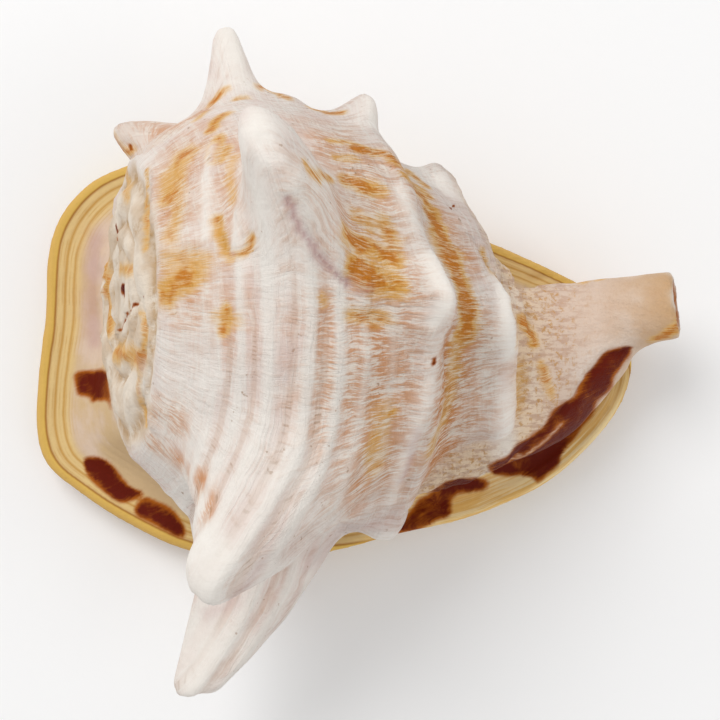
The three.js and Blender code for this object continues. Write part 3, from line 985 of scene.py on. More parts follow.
MARKS = (
    *marks_of(
        Tint.STAIN_AND_SHADE,
        (((228, 88), (219, 96), (211, 103)), 1.3, 1.0),
        (((256, 86), (268, 89), (290, 99)), 1.2, 0.9),
        (((238, 99), (246, 98)), 1.2, 0.9),
        (((308, 107), (330, 114), (345, 114)), 1.1, 1.0),
        (((205, 112), (196, 120)), 1.4, 0.7),
        (((226, 114), (214, 124), (209, 133)), 1.5, 1.1),
        (((220, 138), (214, 152), (211, 163)), 1.7, 0.95),
        (((227, 147), (222, 160)), 1.5, 0.8),
        (((232, 158), (230, 180), (234, 200)), 2.2, 0.5),
        (((217, 222), (224, 248), (232, 254)), 1.7, 1.05),
        (((232, 254), (243, 256), (250, 238)), 1.5, 0.85),
        (((184, 152), (176, 172), (168, 198)), 3.8, 0.85),
        (((180, 170), (170, 188)), 2.4, 0.5),
        (((178, 205), (172, 236)), 2.6, 0.6),
        (((170, 262), (198, 258)), 4.0, 0.6),
        (((166, 296), (180, 282), (196, 270)), 3.4, 1.1),
        (((168, 302), (172, 292)), 2.0, 1.1),
        (((226, 304), (225, 332)), 1.4, 0.95),
        (((214, 318), (235, 320)), 2.2, 0.5),
        (((330, 140), (352, 144), (372, 154)), 1.5, 0.8),
        (((353, 149), (366, 151), (380, 153)), 1.2, 1.25),
        (((336, 158), (356, 160)), 1.4, 0.6),
        (((306, 164), (314, 174), (330, 178)), 1.6, 0.75),
        (((345, 180), (362, 185), (380, 192)), 2.4, 1.0),
        (((354, 214), (372, 226)), 2.6, 0.55),
        (((382, 222), (394, 244)), 2.6, 0.7),
        (((344, 234), (360, 244), (380, 250), (394, 260)), 2.9, 1.1),
        (((354, 264), (366, 275), (380, 281)), 3.2, 1.2),
        (((386, 280), (398, 288)), 3.0, 1.0),
        (((352, 316), (366, 318), (384, 319)), 2.3, 0.75),
        (((320, 296), (323, 304)), 1.6, 0.55),
        (((390, 158), (406, 171), (426, 186)), 1.6, 1.1),
        (((402, 176), (414, 186), (428, 196)), 1.6, 0.9),
        (((412, 190), (424, 202), (434, 214)), 2.0, 1.1),
        (((426, 212), (436, 224), (446, 240)), 2.0, 1.2),
        (((441, 238), (452, 260), (461, 284)), 3.4, 1.25),
        (((461, 286), (465, 306), (466, 326)), 3.0, 1.3),
        (((456, 334), (466, 336)), 2.6, 0.8),
        (((456, 350), (450, 392), (444, 420)), 3.0, 0.52),
        (((450, 398), (438, 430), (430, 450)), 3.2, 0.56),
        (((376, 434), (370, 458)), 3.0, 0.55),
        (((384, 410), (376, 470)), 4.0, 0.4),
        (((388, 414), (392, 411)), 1.2, 0.9),
        (((513, 308), (524, 322), (533, 342)), 1.5, 1.1),
        (((518, 330), (516, 345)), 1.4, 0.9),
        (((540, 362), (548, 384), (551, 396)), 1.4, 0.7),
        (((522, 368), (520, 410)), 2.6, 0.5),
        (((482, 252), (490, 268), (500, 282)), 1.4, 0.9),
        (((114, 138), (122, 149), (136, 152)), 1.4, 1.25),
        (((104, 262), (108, 296), (108, 330)), 2.6, 1.0),
        (((120, 268), (130, 270)), 1.8, 0.8),
        (((116, 352), (138, 360)), 3.0, 0.9),
        (((143, 360), (144, 372)), 1.4, 0.9),
        (((126, 166), (127, 196)), 2.0, 0.7),
        (((658, 338), (668, 334), (678, 322)), 2.0, 1.2),
        # These two thin lines along the whorl's left edge are painted shade under its overhang, not stains
        (((145, 170), (147, 205), (144, 250)), 0.9, 0.75),
        (((140, 310), (144, 335), (138, 385), (144, 425)), 0.9, 0.75),
        (((582, 276), (584, 279)), 1.6, 0.7),
        (((598, 275), (599, 279)), 1.6, 0.8),
    ),
    *marks_of(
        Tint.DARK,
        (((430, 363), (433, 357)), 0.9, 0.85),
        (((121, 288), (125, 293)), 1.5, 1.3),
        (((143, 298), (128, 311), (118, 332)), 0.6, 0.9),
        (((497, 276), (503, 284)), 0.8, 1.1),
        (((672, 281), (673, 291)), 0.7, 1.0),
        (((450, 208), (454, 205)), 0.6, 1.0),
        (((116, 225), (117, 240)), 0.9, 0.8),
        (((129, 147), (137, 153)), 1.2, 0.8),
        (((498, 470), (516, 460), (538, 447), (563, 424)), 1.5, -0.5),
    ),
    *marks_of(
        Tint.WORN,
        (((396, 190), (426, 236), (450, 290)), 2.6, 0.9),
        (((430, 258), (450, 296), (436, 322)), 3.4, 1.1),
        (((432, 330), (430, 380), (410, 446)), 2.4, 0.7),
        (((404, 452), (390, 500)), 2.2, 0.8),
        (((370, 103), (375, 125)), 4.6, 1.0),
        (((380, 548), (384, 540)), 5.0, 0.9),
        (((442, 184), (448, 190)), 4.4, 0.9),
        (((500, 288), (508, 322), (512, 350)), 3.2, 1.1),
        (((505, 395), (508, 425), (504, 450)), 3.6, 0.8),
        (((255, 118), (255, 128)), 6.0, 1.1),
        (((257, 150), (262, 210)), 3.2, 0.7),
        (((228, 32), (236, 62), (244, 84)), 4.2, 0.9),
        (((198, 590), (214, 545)), 7.0, 1.1),
        (((250, 520), (290, 470)), 6.0, 0.5),
        (((194, 680), (208, 640)), 7.0, 0.9),
        (((114, 136), (140, 136)), 4.0, 0.5),
        (((240, 214), (240, 232), (235, 247)), 1.5, 0.9),
        (((212, 150), (207, 192), (206, 240)), 1.3, 0.9),
        (((675, 274), (678, 300), (680, 322)), 1.2, 1.1),
        (((102, 256), (103, 300), (102, 342)), 0.9, 1.0),
        (((146, 370), (142, 395), (150, 398)), 2.2, 0.8),
    ),
    # Painted shade in mauve: along creases, under horn C's tip over horn D, and where the body meets the
    # plate
    *marks_of(
        Tint.MAUVE_SHADE,
        (((288, 198), (298, 225), (312, 246), (334, 272), (348, 284)), 1.0, 1.1),
        (((350, 285), (366, 292)), 1.2, 0.8),
        (((94, 240), (93, 340)), 3.4, 0.9),
        (((248, 118), (243, 111)), 1.6, 0.8),
        (((418, 426), (410, 452), (400, 480)), 1.2, 0.9),
        (((290, 352), (285, 380)), 2.0, 0.3),
        (((388, 522), (350, 526), (318, 556)), 5.0, 0.40),
        (((262, 566), (232, 600), (206, 616)), 2.2, 0.45),
    ),
)

WASHES = (
    Wash(((186, 150), (172, 205)), 8.0, 0.75),
    Wash(((172, 262), (196, 300)), 8.0, 0.6),
    Wash(((146, 404), (176, 420)), 4.5, 0.6),
    Wash(((152, 442), (188, 468)), 4.5, 0.7),
    Wash(((224, 300), (226, 335)), 5.0, 0.45),
    Wash(((326, 300), (330, 400)), 5.0, 0.6),
    Wash(((372, 330), (380, 480)), 14.0, 0.75),
    Wash(((454, 345), (438, 465)), 10.0, 1.0),
    Wash(((474, 330), (484, 420)), 7.0, 0.4),
    Wash(((404, 300), (400, 400)), 8.0, 0.5),
    Wash(((330, 140), (380, 195)), 9.0, 0.6),
    Wash(((350, 225), (400, 290)), 9.0, 0.7),
    Wash(((203, 478), (209, 516)), 2.6, 0.9),
    Wash(((352, 470), (366, 498)), 4.0, 0.7),
    Wash(((160, 140), (200, 112)), 4.0, 0.7),
    Wash(((112, 136), (165, 132)), 6.0, 0.6),
    Wash(((398, 165), (460, 260)), 6.0, 0.8),
    Wash(((226, 140), (232, 250)), 5.0, 0.5),
    Wash(((528, 330), (530, 430)), 9.0, 0.6),
    Wash(((560, 350), (640, 330)), 8.0, 0.5),
    Wash(((440, 230), (465, 330)), 5.0, 0.5),
    Wash(((300, 180), (345, 270)), 7.0, 0.25),
)

BLOTCHES = (
    Blotch(
        (
            (75, 373), (94, 370), (112, 371), (120, 400), (128, 430), (119, 413), (110, 410), (107, 403),
            (92, 402), (90, 397), (77, 395),
        ),
        0.95,
    ),
    Blotch(
        (
            (84, 459), (94, 456), (109, 460), (118, 471), (130, 485), (143, 493), (131, 501), (121, 503),
            (106, 494), (92, 481), (85, 471),
        ),
        1.0,
    ),
    Blotch(
        (
            (147, 498), (155, 501), (172, 508), (186, 528), (184, 538), (171, 534), (152, 524), (136, 515),
            (134, 509), (141, 500),
        ),
        1.0,
    ),
    Blotch(
        (
            (125, 431), (133, 441), (136, 452), (131, 446), (125, 444),
        ),
        0.9,
    ),
    Blotch(
        (
            (606, 352), (621, 347), (633, 349), (629, 358), (621, 369), (614, 379), (612, 388), (599, 402),
            (592, 417), (579, 432), (572, 442), (563, 452), (559, 465), (549, 474), (538, 483), (531, 477),
            (502, 476), (489, 470), (493, 462), (504, 456), (513, 446), (536, 433), (544, 428), (552, 411),
            (563, 404), (576, 396), (583, 382), (593, 369),
        ),
        1.0,
    ),
    # This blotch on the plate's inner edge is partly a dark streak and partly painted shade of the body
    # falling on the plate
    Blotch(
        (
            (390, 536), (393, 527), (403, 515), (419, 500), (447, 482), (479, 477), (489, 482), (487, 489),
            (453, 497), (451, 515), (436, 522), (411, 533),
        ),
        0.95,
    ),
)

CREASES = (
    Crease(((288, 198), (298, 225), (312, 246), (334, 272), (350, 285)), 1.5, -1.0),
    Crease(((147, 172), (149, 205), (146, 245)), 1.3, -1.2),
    Crease(((142, 305), (146, 335), (140, 385), (146, 428)), 1.3, -1.2),
    Crease(((151, 172), (153, 205), (150, 245)), 1.2, 0.8),
    Crease(((146, 305), (150, 335), (145, 385), (151, 428)), 1.2, 0.8),
    Crease(((296, 176), (322, 208), (344, 236)), 3.0, 0.8),
    Crease(((217, 222), (224, 248), (243, 256), (251, 236)), 1.4, -0.8),
    Crease(((240, 214), (240, 232), (235, 247)), 1.6, 1.1),
    Crease(((212, 150), (207, 192), (206, 240)), 1.4, 0.8),
    Crease(((222, 175), (220, 215)), 1.6, -0.5),
    Crease(((392, 190), (420, 238), (450, 290)), 3.0, 0.9),
    Crease(((376, 158), (408, 202), (436, 250), (458, 300)), 2.0, -0.7),
    Crease(((432, 330), (430, 380), (410, 446), (392, 500)), 2.6, 0.8),
    Crease(((446, 330), (444, 390), (420, 450), (404, 486)), 2.0, -0.7),
    Crease(((470, 240), (500, 290), (512, 330), (511, 400), (508, 450)), 2.6, 0.8),
    Crease(((488, 262), (516, 308), (522, 350), (518, 420)), 1.8, -0.8),
    Crease(((636, 350), (606, 356), (584, 382), (571, 402), (545, 430), (509, 464)), 1.3, -1.0),
    Crease(((509, 464), (480, 478), (440, 488), (404, 515)), 1.5, -0.8),
    Crease(((470, 236), (488, 262), (514, 284), (552, 276)), 1.2, -0.9),
    Crease(((142, 298), (128, 312), (117, 335)), 0.9, -0.9),
    Crease(((122, 291), (123, 292)), 1.5, -2.4),
    Crease(((102, 255), (104, 280), (101, 308), (103, 340)), 1.2, 0.8),
    Crease(((128, 145), (143, 153)), 1.3, -0.9),
    Crease(((205, 508), (222, 480), (236, 440)), 2.0, -0.5),
    Crease(((345, 500), (300, 540), (262, 566)), 2.2, -0.8),
)

CORDS = (
    Cord((203, 400), 1.6, 0.45),
    Cord((216, 400), 1.5, 0.55),
    Cord((236, 400), 1.6, 0.65, 85),
    Cord((263, 400), 2.2, 0.70, 80),
    Cord((308, 400), 2.0, 0.80, 85),
    Cord((337, 400), 1.8, 0.80, 85),
    Cord((360, 420), 1.8, 0.45),
    Cord((384, 440), 1.8, 0.35),
    Cord((250, 400), 1.2, -0.30, 100),
    Cord((226, 400), 1.2, -0.30, 100),
    Cord((290, 400), 1.4, -0.40, 95),
    Cord((323, 400), 1.4, -0.40, 95),
)


@dataclass(frozen=True)
class Relief:
    """Heights of the fine relief in millimetres, and the places where it starts or ends.

    Cords fade in from the first to the second angle of cord_fade round their start, and out over the
    third before their end, all in degrees.
    """

    folds: float = 0.3
    threads: float = 0.16
    swells: tuple[float, float] = (0.5, 0.22)
    crust: float = 0.42
    cracks: float = 0.5
    steps: float = 0.16
    step_width: float = 2.6
    groove: float = 0.8
    groove_inwards: float = 4.0
    groove_width: float = 0.9
    plate_swell: float = 0.3
    growth: float = 0.60
    growth_parts: tuple[float, float] = (0.9, 0.5)
    base_swell: float = 0.3
    neck_span: tuple[float, float] = (50, 64)
    lip_along: tuple[float, float] = (-30, 20)
    lip_aside: tuple[float, float] = (-8, 8)
    lip_shift: float = 3.8
    spire_edge: tuple[float, float] = (38, 44)
    base_edge: tuple[float, float] = (154, 163)
    wander: float = 0.9
    cord_fade: tuple[float, float, float] = (22, 8, 18)


RELIEF = Relief()


class FineForm:
    """Reads the finished mesh, raises its fine relief and stores what the material reads.

    Attributes stored: zones (plate, base and neck, spire, inside), marks (stain with two lines of painted
    shade, dark, worn, mauve painted shade) and tones (ochre wash, ridge, underside, distance from the rim in
    decimetres).
    """

    def __init__(self, mesh: bpy.types.Mesh, plate: Plate, box: np.ndarray) -> None:
        """Read points, normals and measured attributes of the mesh into arrays.

        Args:
            mesh: The shell's mesh.
            plate: The plate, which gives the distance from the rim.
            box: Lowest and highest corner, in metres, that the relief may not pass.
        """
        self.mesh = mesh
        self.box = box
        count = len(mesh.vertices)
        points, normals = np.empty(count * 3, np.float32), np.empty(count * 3, np.float32)
        mesh.vertices.foreach_get("co", points)
        mesh.vertex_normals.foreach_get("vector", normals)
        self.points = points.reshape(-1, 3).astype(float) / MM
        self.normals = normals.reshape(-1, 3).astype(float)
        decimetres, sine, cosine = self.read("spiral", 3).T
        self.length = decimetres * DECIMETRE
        self.angle = np.arctan2(sine, cosine)
        self.rim = plate.inwards(self.points)
        self.noise = LatticeNoise(7)
        self.seen = Seen(self.points, self.normals)
        self.weigh()

    def read(self, name: str, size: int = 1) -> np.ndarray:
        """Read one attribute of the mesh.

        Args:
            name: Name of the attribute.
            size: How many numbers it has at each vertex.

        Returns:
            One number or row for each vertex.
        """
        data = self.mesh.attributes[name].data
        values = np.empty(len(data) * size, np.float32)
        data.foreach_get("value" if size == 1 else "vector", values)
        return values.astype(float) if size == 1 else values.reshape(-1, size).astype(float)

    def weigh(self) -> None:
        """Work out how far each vertex belongs to each surface: e to the minus distance, shared out."""
        outer = np.exp(-np.stack([self.read(name) for name in ("body", "plate", "neck")]) / (0.9 * MM))
        outer /= outer.sum(0) + 1e-12
        self.in_hole = 1 - smooth(0.5, 1.6, self.read("inside") / MM)
        on_body, on_plate, on_neck = outer * (1 - self.in_hole)
        edge = self.length + 2.5 * self.noise.layered(self.points, 9)
        self.on_spire = on_body * (1 - smooth(*RELIEF.spire_edge, edge))
        base = on_body * smooth(*RELIEF.base_edge, self.length)
        self.on_base = np.clip(on_neck + base, 0, 1)
        self.on_body = on_body - self.on_spire - base
        self.on_plate = on_plate
        self.under = smooth(0.1, 0.5, -self.normals[:, 2]) * smooth(-20, -12, -self.points[:, 2])

    def band(self, path: Sequence[Sequence[float]], wide: float) -> np.ndarray:
        """Share of a line at each vertex: a bell curve of the distance from it in half widths."""
        return bell(self.seen.distance(path, self.points, 3 * wide) / wide)

    def cords(self) -> tuple[np.ndarray, np.ndarray]:
        """Lift of the broad cords, and the share of a cord (above 0) or trough (below 0) at each vertex.

        A cord is a bell curve of the distance along the profile from its anchor, times a fade at the
        ends of its range of angles.

        Returns:
            Lifts in millimetres, and shares from -1 to 1.
        """
        lift, share = np.zeros(len(self.points)), np.zeros(len(self.points))
        wander = RELIEF.wander * self.noise.at(self.points + 70, 14)
        degrees = np.degrees(self.angle) + 90
        before, after, out = RELIEF.cord_fade
        for cord in CORDS:
            anchor = self.seen.find(np.array([cord.anchor]))
            nearest = np.argmin(np.sum((self.points - anchor) ** 2, axis=1))
            across = bell((self.length - self.length[nearest] + wander) / cord.wide)
            window = smooth(cord.start - before, cord.start + after, degrees)
            window *= smooth(-cord.end, out - cord.end, -degrees)
            lift += cord.lift * across * window * self.on_body
            share += cord.whiteness * across * window * self.on_body
        return lift, np.clip(share, -1, 1)

    def shape(self) -> None:
        """Raise the fine relief along the normals and move the shell into the common frame.

        The body gets cords that follow the spiral, folds across them and gentle swells; the spire is
        rough; the plate has a groove and growth steps parallel to its rim; the base has coarse growth
        lines that fade out on the neck. Creases are added as bell curves. The face that the shell
        rests on is left as it is.
        """
        grid = np.stack([self.length, self.angle * 50, 0 * self.length], 1)
        noise = self.noise
        folds = noise.layered(grid / [14, 4.0, 1], 1, 2)
        threads = noise.layered(grid / [2.6, 30, 1], 1, 1)
        swells = RELIEF.swells[0] * noise.at(self.points, 15) + RELIEF.swells[1] * noise.at(self.points, 6.5)
        cord_lift, self.ridge = self.cords()
        lift = self.on_body * (RELIEF.folds * folds + RELIEF.threads * threads + swells) + cord_lift
        crust = RELIEF.crust * noise.layered(self.points, 9, 3)
        cracks = RELIEF.cracks * np.exp(-9 * np.abs(noise.at(self.points + 9, 13)))
        lift += self.on_spire * (crust - cracks)
        rim = self.rim + 0.5 * noise.at(self.points, 12)
        x, y, _ = self.points.T
        self.lip = smooth(*RELIEF.lip_along, x) * smooth(*RELIEF.lip_aside, -y)
        steps = RELIEF.steps * np.cos(2 * np.pi * rim / RELIEF.step_width) * (1 - self.lip)
        steps *= smooth(5, 7, rim) * smooth(-30, -18, -rim)
        groove = RELIEF.groove * bell((rim - RELIEF.groove_inwards) / RELIEF.groove_width)
        top = self.on_plate * smooth(0.1, 0.5, self.normals[:, 2])
        lift += top * (steps - groove + RELIEF.plate_swell * noise.at(self.points, 7))
        threaded, folded = RELIEF.growth_parts
        coarse = threaded * noise.layered(grid / [2.6, 26, 1], 1, 2)
        coarse += folded * noise.layered(grid / [12, 3.0, 1], 1, 2)
        rough = 1 - 0.8 * smooth(*RELIEF.neck_span, x)
        lift += self.on_base * (RELIEF.growth * coarse * rough + RELIEF.base_swell * noise.at(self.points, 9))
        for crease in CREASES:
            lift += crease.lift * self.band(crease.path, crease.wide)
        lift *= smooth(0.4, 3.0, self.points[:, 2]) * (1 - self.in_hole)
        moved = self.points + self.normals * lift[:, None]
        moved = np.clip((moved + SPIRAL.to_middle) * MM, *self.box)
        self.mesh.vertices.foreach_set("co", moved.astype(np.float32).ravel())
        self.mesh.update()

    def blotched(self, blotch: Blotch) -> np.ndarray:
        """Depth inside a blotch's outline: half at the edge, and full 5 pixels inside.

        A vertex is inside if a line from it crosses the outline an odd number of times, and its
        depth is its distance from the outline in the picture.

        Args:
            blotch: The blotch.

        Returns:
            One share for each vertex.
        """
        outline = through(blotch.outline, 5, closed=True)
        place = VIEW.pixels(self.points)
        reach = np.ptp(outline, 0) * 0.5 + 40
        near = np.flatnonzero(np.all(np.abs(place - outline.mean(0)) < reach, axis=1))
        x, y = place[near, 0, None], place[near, 1, None]
        ax, ay = outline[:, 0], outline[:, 1]
        bx, by = np.roll(ax, -1), np.roll(ay, -1)
        wide, high = bx - ax, by - ay
        span = np.where(np.abs(high) < 1e-9, 1e-9, high)
        crossed = ((ay > y) != (by > y)) & (x < ax + (y - ay) * wide / span)
        along = np.clip(((x - ax) * wide + (y - ay) * high) / (wide**2 + high**2 + 1e-9), 0, 1)
        off = np.min(np.hypot(x - ax - along * wide, y - ay - along * high), axis=1)
        depth = np.where(crossed.sum(1) % 2 == 1, off, -off) + 1.5 * self.noise.at(self.points[near] + 5, 4)
        share = np.zeros(len(self.points))
        share[near] = np.clip(0.5 + depth / 10, 0, 1) * smooth(-0.6, -0.3, self.normals[near, 2])
        return blotch.strength * share * np.clip(self.on_plate + self.on_base, 0, 1)

    def mark(self) -> None:
        """Store the marks, zones and tones as attributes for the material."""
        marks = np.zeros((len(self.points), 4))
        ragged = 1 + 0.35 * self.noise.layered(self.points + 40, 5.0, 2)
        for blotch in BLOTCHES:
            marks[:, Tint.DARK.value] = np.maximum(marks[:, Tint.DARK.value], self.blotched(blotch))
        for mark in MARKS:
            off = self.seen.distance(mark.path, self.points, 2.6 * mark.wide) / (mark.wide * ragged)
            channel, share = mark.tint.value, np.abs(mark.strength) * bell(0.9 * off)
            if mark.strength < 0:
                marks[:, channel] *= 1 - share
            else:
                marks[:, channel] = np.maximum(marks[:, channel], share)
        wash = np.zeros(len(self.points))
        for line in WASHES:
            off = self.seen.distance(line.path, self.points, 2.4 * line.wide) / (line.wide * ragged)
            wash = np.maximum(wash, line.strength * bell(0.8 * off))
        _, side, up = ((self.points - SPIRAL.tip) @ SPIRAL.axes.T).T
        sutures, _ = SPIRAL.whorls(np.hypot(side, up), np.arctan2(up, side))
        wash = np.maximum(wash, self.on_spire * sutures)
        self.store("marks", marks)
        self.store("zones", np.stack([self.on_plate, self.on_base, self.on_spire, self.in_hole], 1))
        rim = (self.rim + RELIEF.lip_shift * self.lip) / DECIMETRE
        self.store("tones", np.stack([wash, self.ridge, self.under, rim], 1))

    def store(self, name: str, rows: np.ndarray) -> None:
        """Store four numbers per vertex as a colour attribute."""
        layer = self.mesh.color_attributes.new(name, "FLOAT_COLOR", "POINT")
        layer.data.foreach_set("color", rows.astype(np.float32).ravel())


# Nodes
Colour = tuple[float, float, float]
Value = float | Colour | bpy.types.NodeSocket


class NodeSheet:
    """Adds nodes to a material or a group and links them."""

    def __init__(self, tree: bpy.types.NodeTree) -> None:
        """Work on an empty node tree."""
        self.tree = tree
        tree.nodes.clear()

    def add(self, kind: str, **settings: object) -> bpy.types.Node:
        """Add a node and set its properties.

        Args:
            kind: Type of the node.
            settings: Its properties.

        Returns:
            The node.
        """
        node = self.tree.nodes.new(kind)
        for name, value in settings.items():
            setattr(node, name, value)
        return node

    def feed(self, socket: bpy.types.NodeSocket, value: Value) -> None:
        """Link a socket to another one, or set its number or colour.

        Args:
            socket: The input.
            value: What it gets.
        """
        if isinstance(value, bpy.types.NodeSocket):
            self.tree.links.new(value, socket)
        elif isinstance(value, tuple) and socket.type == "RGBA":
            socket.default_value = (*value, 1)
        else:
            socket.default_value = value

    def made(
        self, kind: str, inputs: dict[int | str, Value], output: int = 0, **settings: object
    ) -> bpy.types.NodeSocket:
        """Add a node, feed its inputs and give one of its outputs.

        Args:
            kind: Type of the node.
            inputs: Values by the number or name of the input.
            output: Number of the output.
            settings: Properties of the node.

        Returns:
            The output.
        """
        node = self.add(kind, **settings)
        for name, value in inputs.items():
            self.feed(node.inputs[name], value)
        return node.outputs[output]

    def math(self, step: str, *values: Value) -> bpy.types.NodeSocket:
        """Do one step of arithmetic."""
        return self.made("ShaderNodeMath", dict(enumerate(values)), operation=step)

    def times(self, *values: Value) -> bpy.types.NodeSocket:
        """Multiply two or more numbers."""
        return reduce(lambda first, last: self.math("MULTIPLY", first, last), values)

    def plus(self, *values: Value) -> bpy.types.NodeSocket:
        """Add two or more numbers."""
        return reduce(lambda first, last: self.math("ADD", first, last), values)

    def rest(self, share: Value) -> bpy.types.NodeSocket:
        """Take a share from one."""
        return self.math("SUBTRACT", 1.0, share)

    def centred(self, value: Value) -> bpy.types.NodeSocket:
        """Take a half away from a number."""
        return self.math("SUBTRACT", value, 0.5)

    def rise(
        self, value: Value, low: Value, high: Value, first: float = 0.0, last: float = 1.0
    ) -> bpy.types.NodeSocket:
        """Rise smoothly from first to last as a value goes from low to high."""
        inputs = dict(enumerate((value, low, high, first, last)))
        return self.made("ShaderNodeMapRange", inputs, interpolation_type="SMOOTHSTEP")

    def mix(self, share: Value, first: Value, last: Value, blend: str = "MIX") -> bpy.types.NodeSocket:
        """Mix two colours."""
        inputs = {0: share, 6: first, 7: last}
        return self.made("ShaderNodeMix", inputs, 2, data_type="RGBA", blend_type=blend)

    def layered(self, ground: Value, *layers: tuple[Value, Value]) -> Value:
        """Lay colours over a ground in order, each with its share."""
        return reduce(lambda below, layer: self.mix(layer[0], below, layer[1]), layers, ground)

    def ramp(self, value: Value, stops: Sequence[tuple[float, Colour]]) -> bpy.types.NodeSocket:
        """Look a value up in a row of colours.

        Args:
            value: The value.
            stops: Places from 0 to 1 in rising order, each with its colour.

        Returns:
            The colour.
        """
        node = self.add("ShaderNodeValToRGB")
        elements = node.color_ramp.elements
        elements[0].position, elements[0].color = stops[0][0], (*stops[0][1], 1)
        elements[1].position, elements[1].color = stops[-1][0], (*stops[-1][1], 1)
        for place, colour in stops[1:-1]:
            elements.new(place).color = (*colour, 1)
        self.feed(node.inputs[0], value)
        return node.outputs[0]

    def noise(
        self, where: Value, scale: float, detail: float = 4.0, rough: float = 0.55
    ) -> bpy.types.NodeSocket:
        """Smooth noise in space, from 0 to 1."""
        inputs = {"Vector": where, "Scale": scale, "Detail": detail, "Roughness": rough}
        return self.made("ShaderNodeTexNoise", inputs)

    def joined(self, x: Value, y: Value, z: Value = 0.0) -> bpy.types.NodeSocket:
        """Make a vector of three numbers."""
        return self.made("ShaderNodeCombineXYZ", {0: x, 1: y, 2: z})

    def stretched(
        self, x: Value, y: Value, scales: tuple[float, float], detail: float, rough: float
    ) -> bpy.types.NodeSocket:
        """Noise over two numbers, each with its own scale, which makes streaks."""
        place = self.joined(self.times(x, scales[0]), self.times(y, scales[1]))
        return self.noise(place, 1.0, detail, rough)

    def split(self, vector: Value) -> tuple[bpy.types.NodeSocket, ...]:
        """Take a vector apart.

        Args:
            vector: The vector.

        Returns:
            Its three numbers.
        """
        node = self.add("ShaderNodeSeparateXYZ")
        self.feed(node.inputs[0], vector)
        return tuple(node.outputs)

    def space(self) -> bpy.types.NodeSocket:
        """Coordinates on the object, in metres."""
        return self.add("ShaderNodeTexCoord").outputs["Object"]

    def attribute(self, name: str) -> bpy.types.Node:
        """Read a named attribute of the mesh."""
        return self.add("ShaderNodeAttribute", attribute_type="GEOMETRY", attribute_name=name)

    def channels(self, name: str) -> tuple[bpy.types.NodeSocket, ...]:
        """Read a colour attribute as four numbers.

        Args:
            name: Name of the attribute.

        Returns:
            Its red, green, blue and alpha.
        """
        node = self.attribute(name)
        part = self.add("ShaderNodeSeparateColor")
        self.feed(part.inputs[0], node.outputs["Color"])
        return (*part.outputs, node.outputs["Alpha"])


def group_sheet(
    name: str, inputs: Sequence[str], outputs: Sequence[str]
) -> tuple[NodeSheet, bpy.types.Node, bpy.types.Node]:
    """Start a shader node group.

    Args:
        name: Name of the group.
        inputs: Names of its number inputs.
        outputs: Names of its number outputs.

    Returns:
        The sheet, and the group's input and output nodes.
    """
    tree = bpy.data.node_groups.new(name, "ShaderNodeTree")
    for title in inputs:
        tree.interface.new_socket(title, in_out="INPUT", socket_type="NodeSocketFloat")
    for title in outputs:
        tree.interface.new_socket(title, in_out="OUTPUT", socket_type="NodeSocketFloat")
    sheet = NodeSheet(tree)
    return sheet, sheet.add("NodeGroupInput"), sheet.add("NodeGroupOutput")


# The finish
@dataclass(frozen=True)
class GrowthLines:
    """Fine sculpture of the shell: threads along the spiral, growth lines across them, and pits.

    Each pair is the scale of a noise per decimetre of the profile and per radian round the axis.
    """

    lines: tuple[float, float] = (13.0, 44.0)
    threads: tuple[float, float] = (95.0, 3.5)
    hatch: tuple[float, float] = (24.0, 120.0)
    pits_per_turn: float = 300.0

    def build(self) -> bpy.types.NodeTree:
        """Make the group; it reads the attribute spiral and gives threads, lines, pits and streaks.

        Returns:
            The group.
        """
        sheet, _, end = group_sheet("growth_lines", (), ("Threads", "Lines", "Pits", "Streaks"))
        length, sine, cosine = sheet.split(sheet.attribute("spiral").outputs["Vector"])
        space = sheet.space()
        bend = sheet.noise(space, 55.0, 2.0)
        along = sheet.plus(length, sheet.times(bend, 0.05))
        across = sheet.plus(sheet.math("ARCTAN2", sine, cosine), sheet.times(bend, 0.10))
        contrast = sheet.rise(length, 0.70, 1.15, 0.60, 1.4)
        lines = sheet.centred(sheet.stretched(along, across, self.lines, 5.0, 0.7))
        lines = sheet.plus(0.5, sheet.times(lines, contrast))
        threads = sheet.stretched(along, across, self.threads, 4.0, 0.65)
        steps = sheet.math("SINE", sheet.times(across, self.pits_per_turn))
        patches = sheet.rise(sheet.noise(space, 90.0, 3.0), 0.48, 0.66)
        pits = sheet.times(sheet.rise(steps, 0.2, 1.0), patches)
        fine = sheet.centred(sheet.stretched(along, across, self.hatch, 4.0, 0.65))
        fine = sheet.plus(0.5, sheet.times(fine, sheet.rise(contrast, 0.6, 1.0, 0.6, 1.0)))
        streaks = sheet.plus(sheet.times(fine, 0.6), sheet.times(lines, 0.4))
        for socket, value in zip(end.inputs, (threads, lines, pits, streaks)):
            sheet.feed(socket, value)
        return sheet.tree


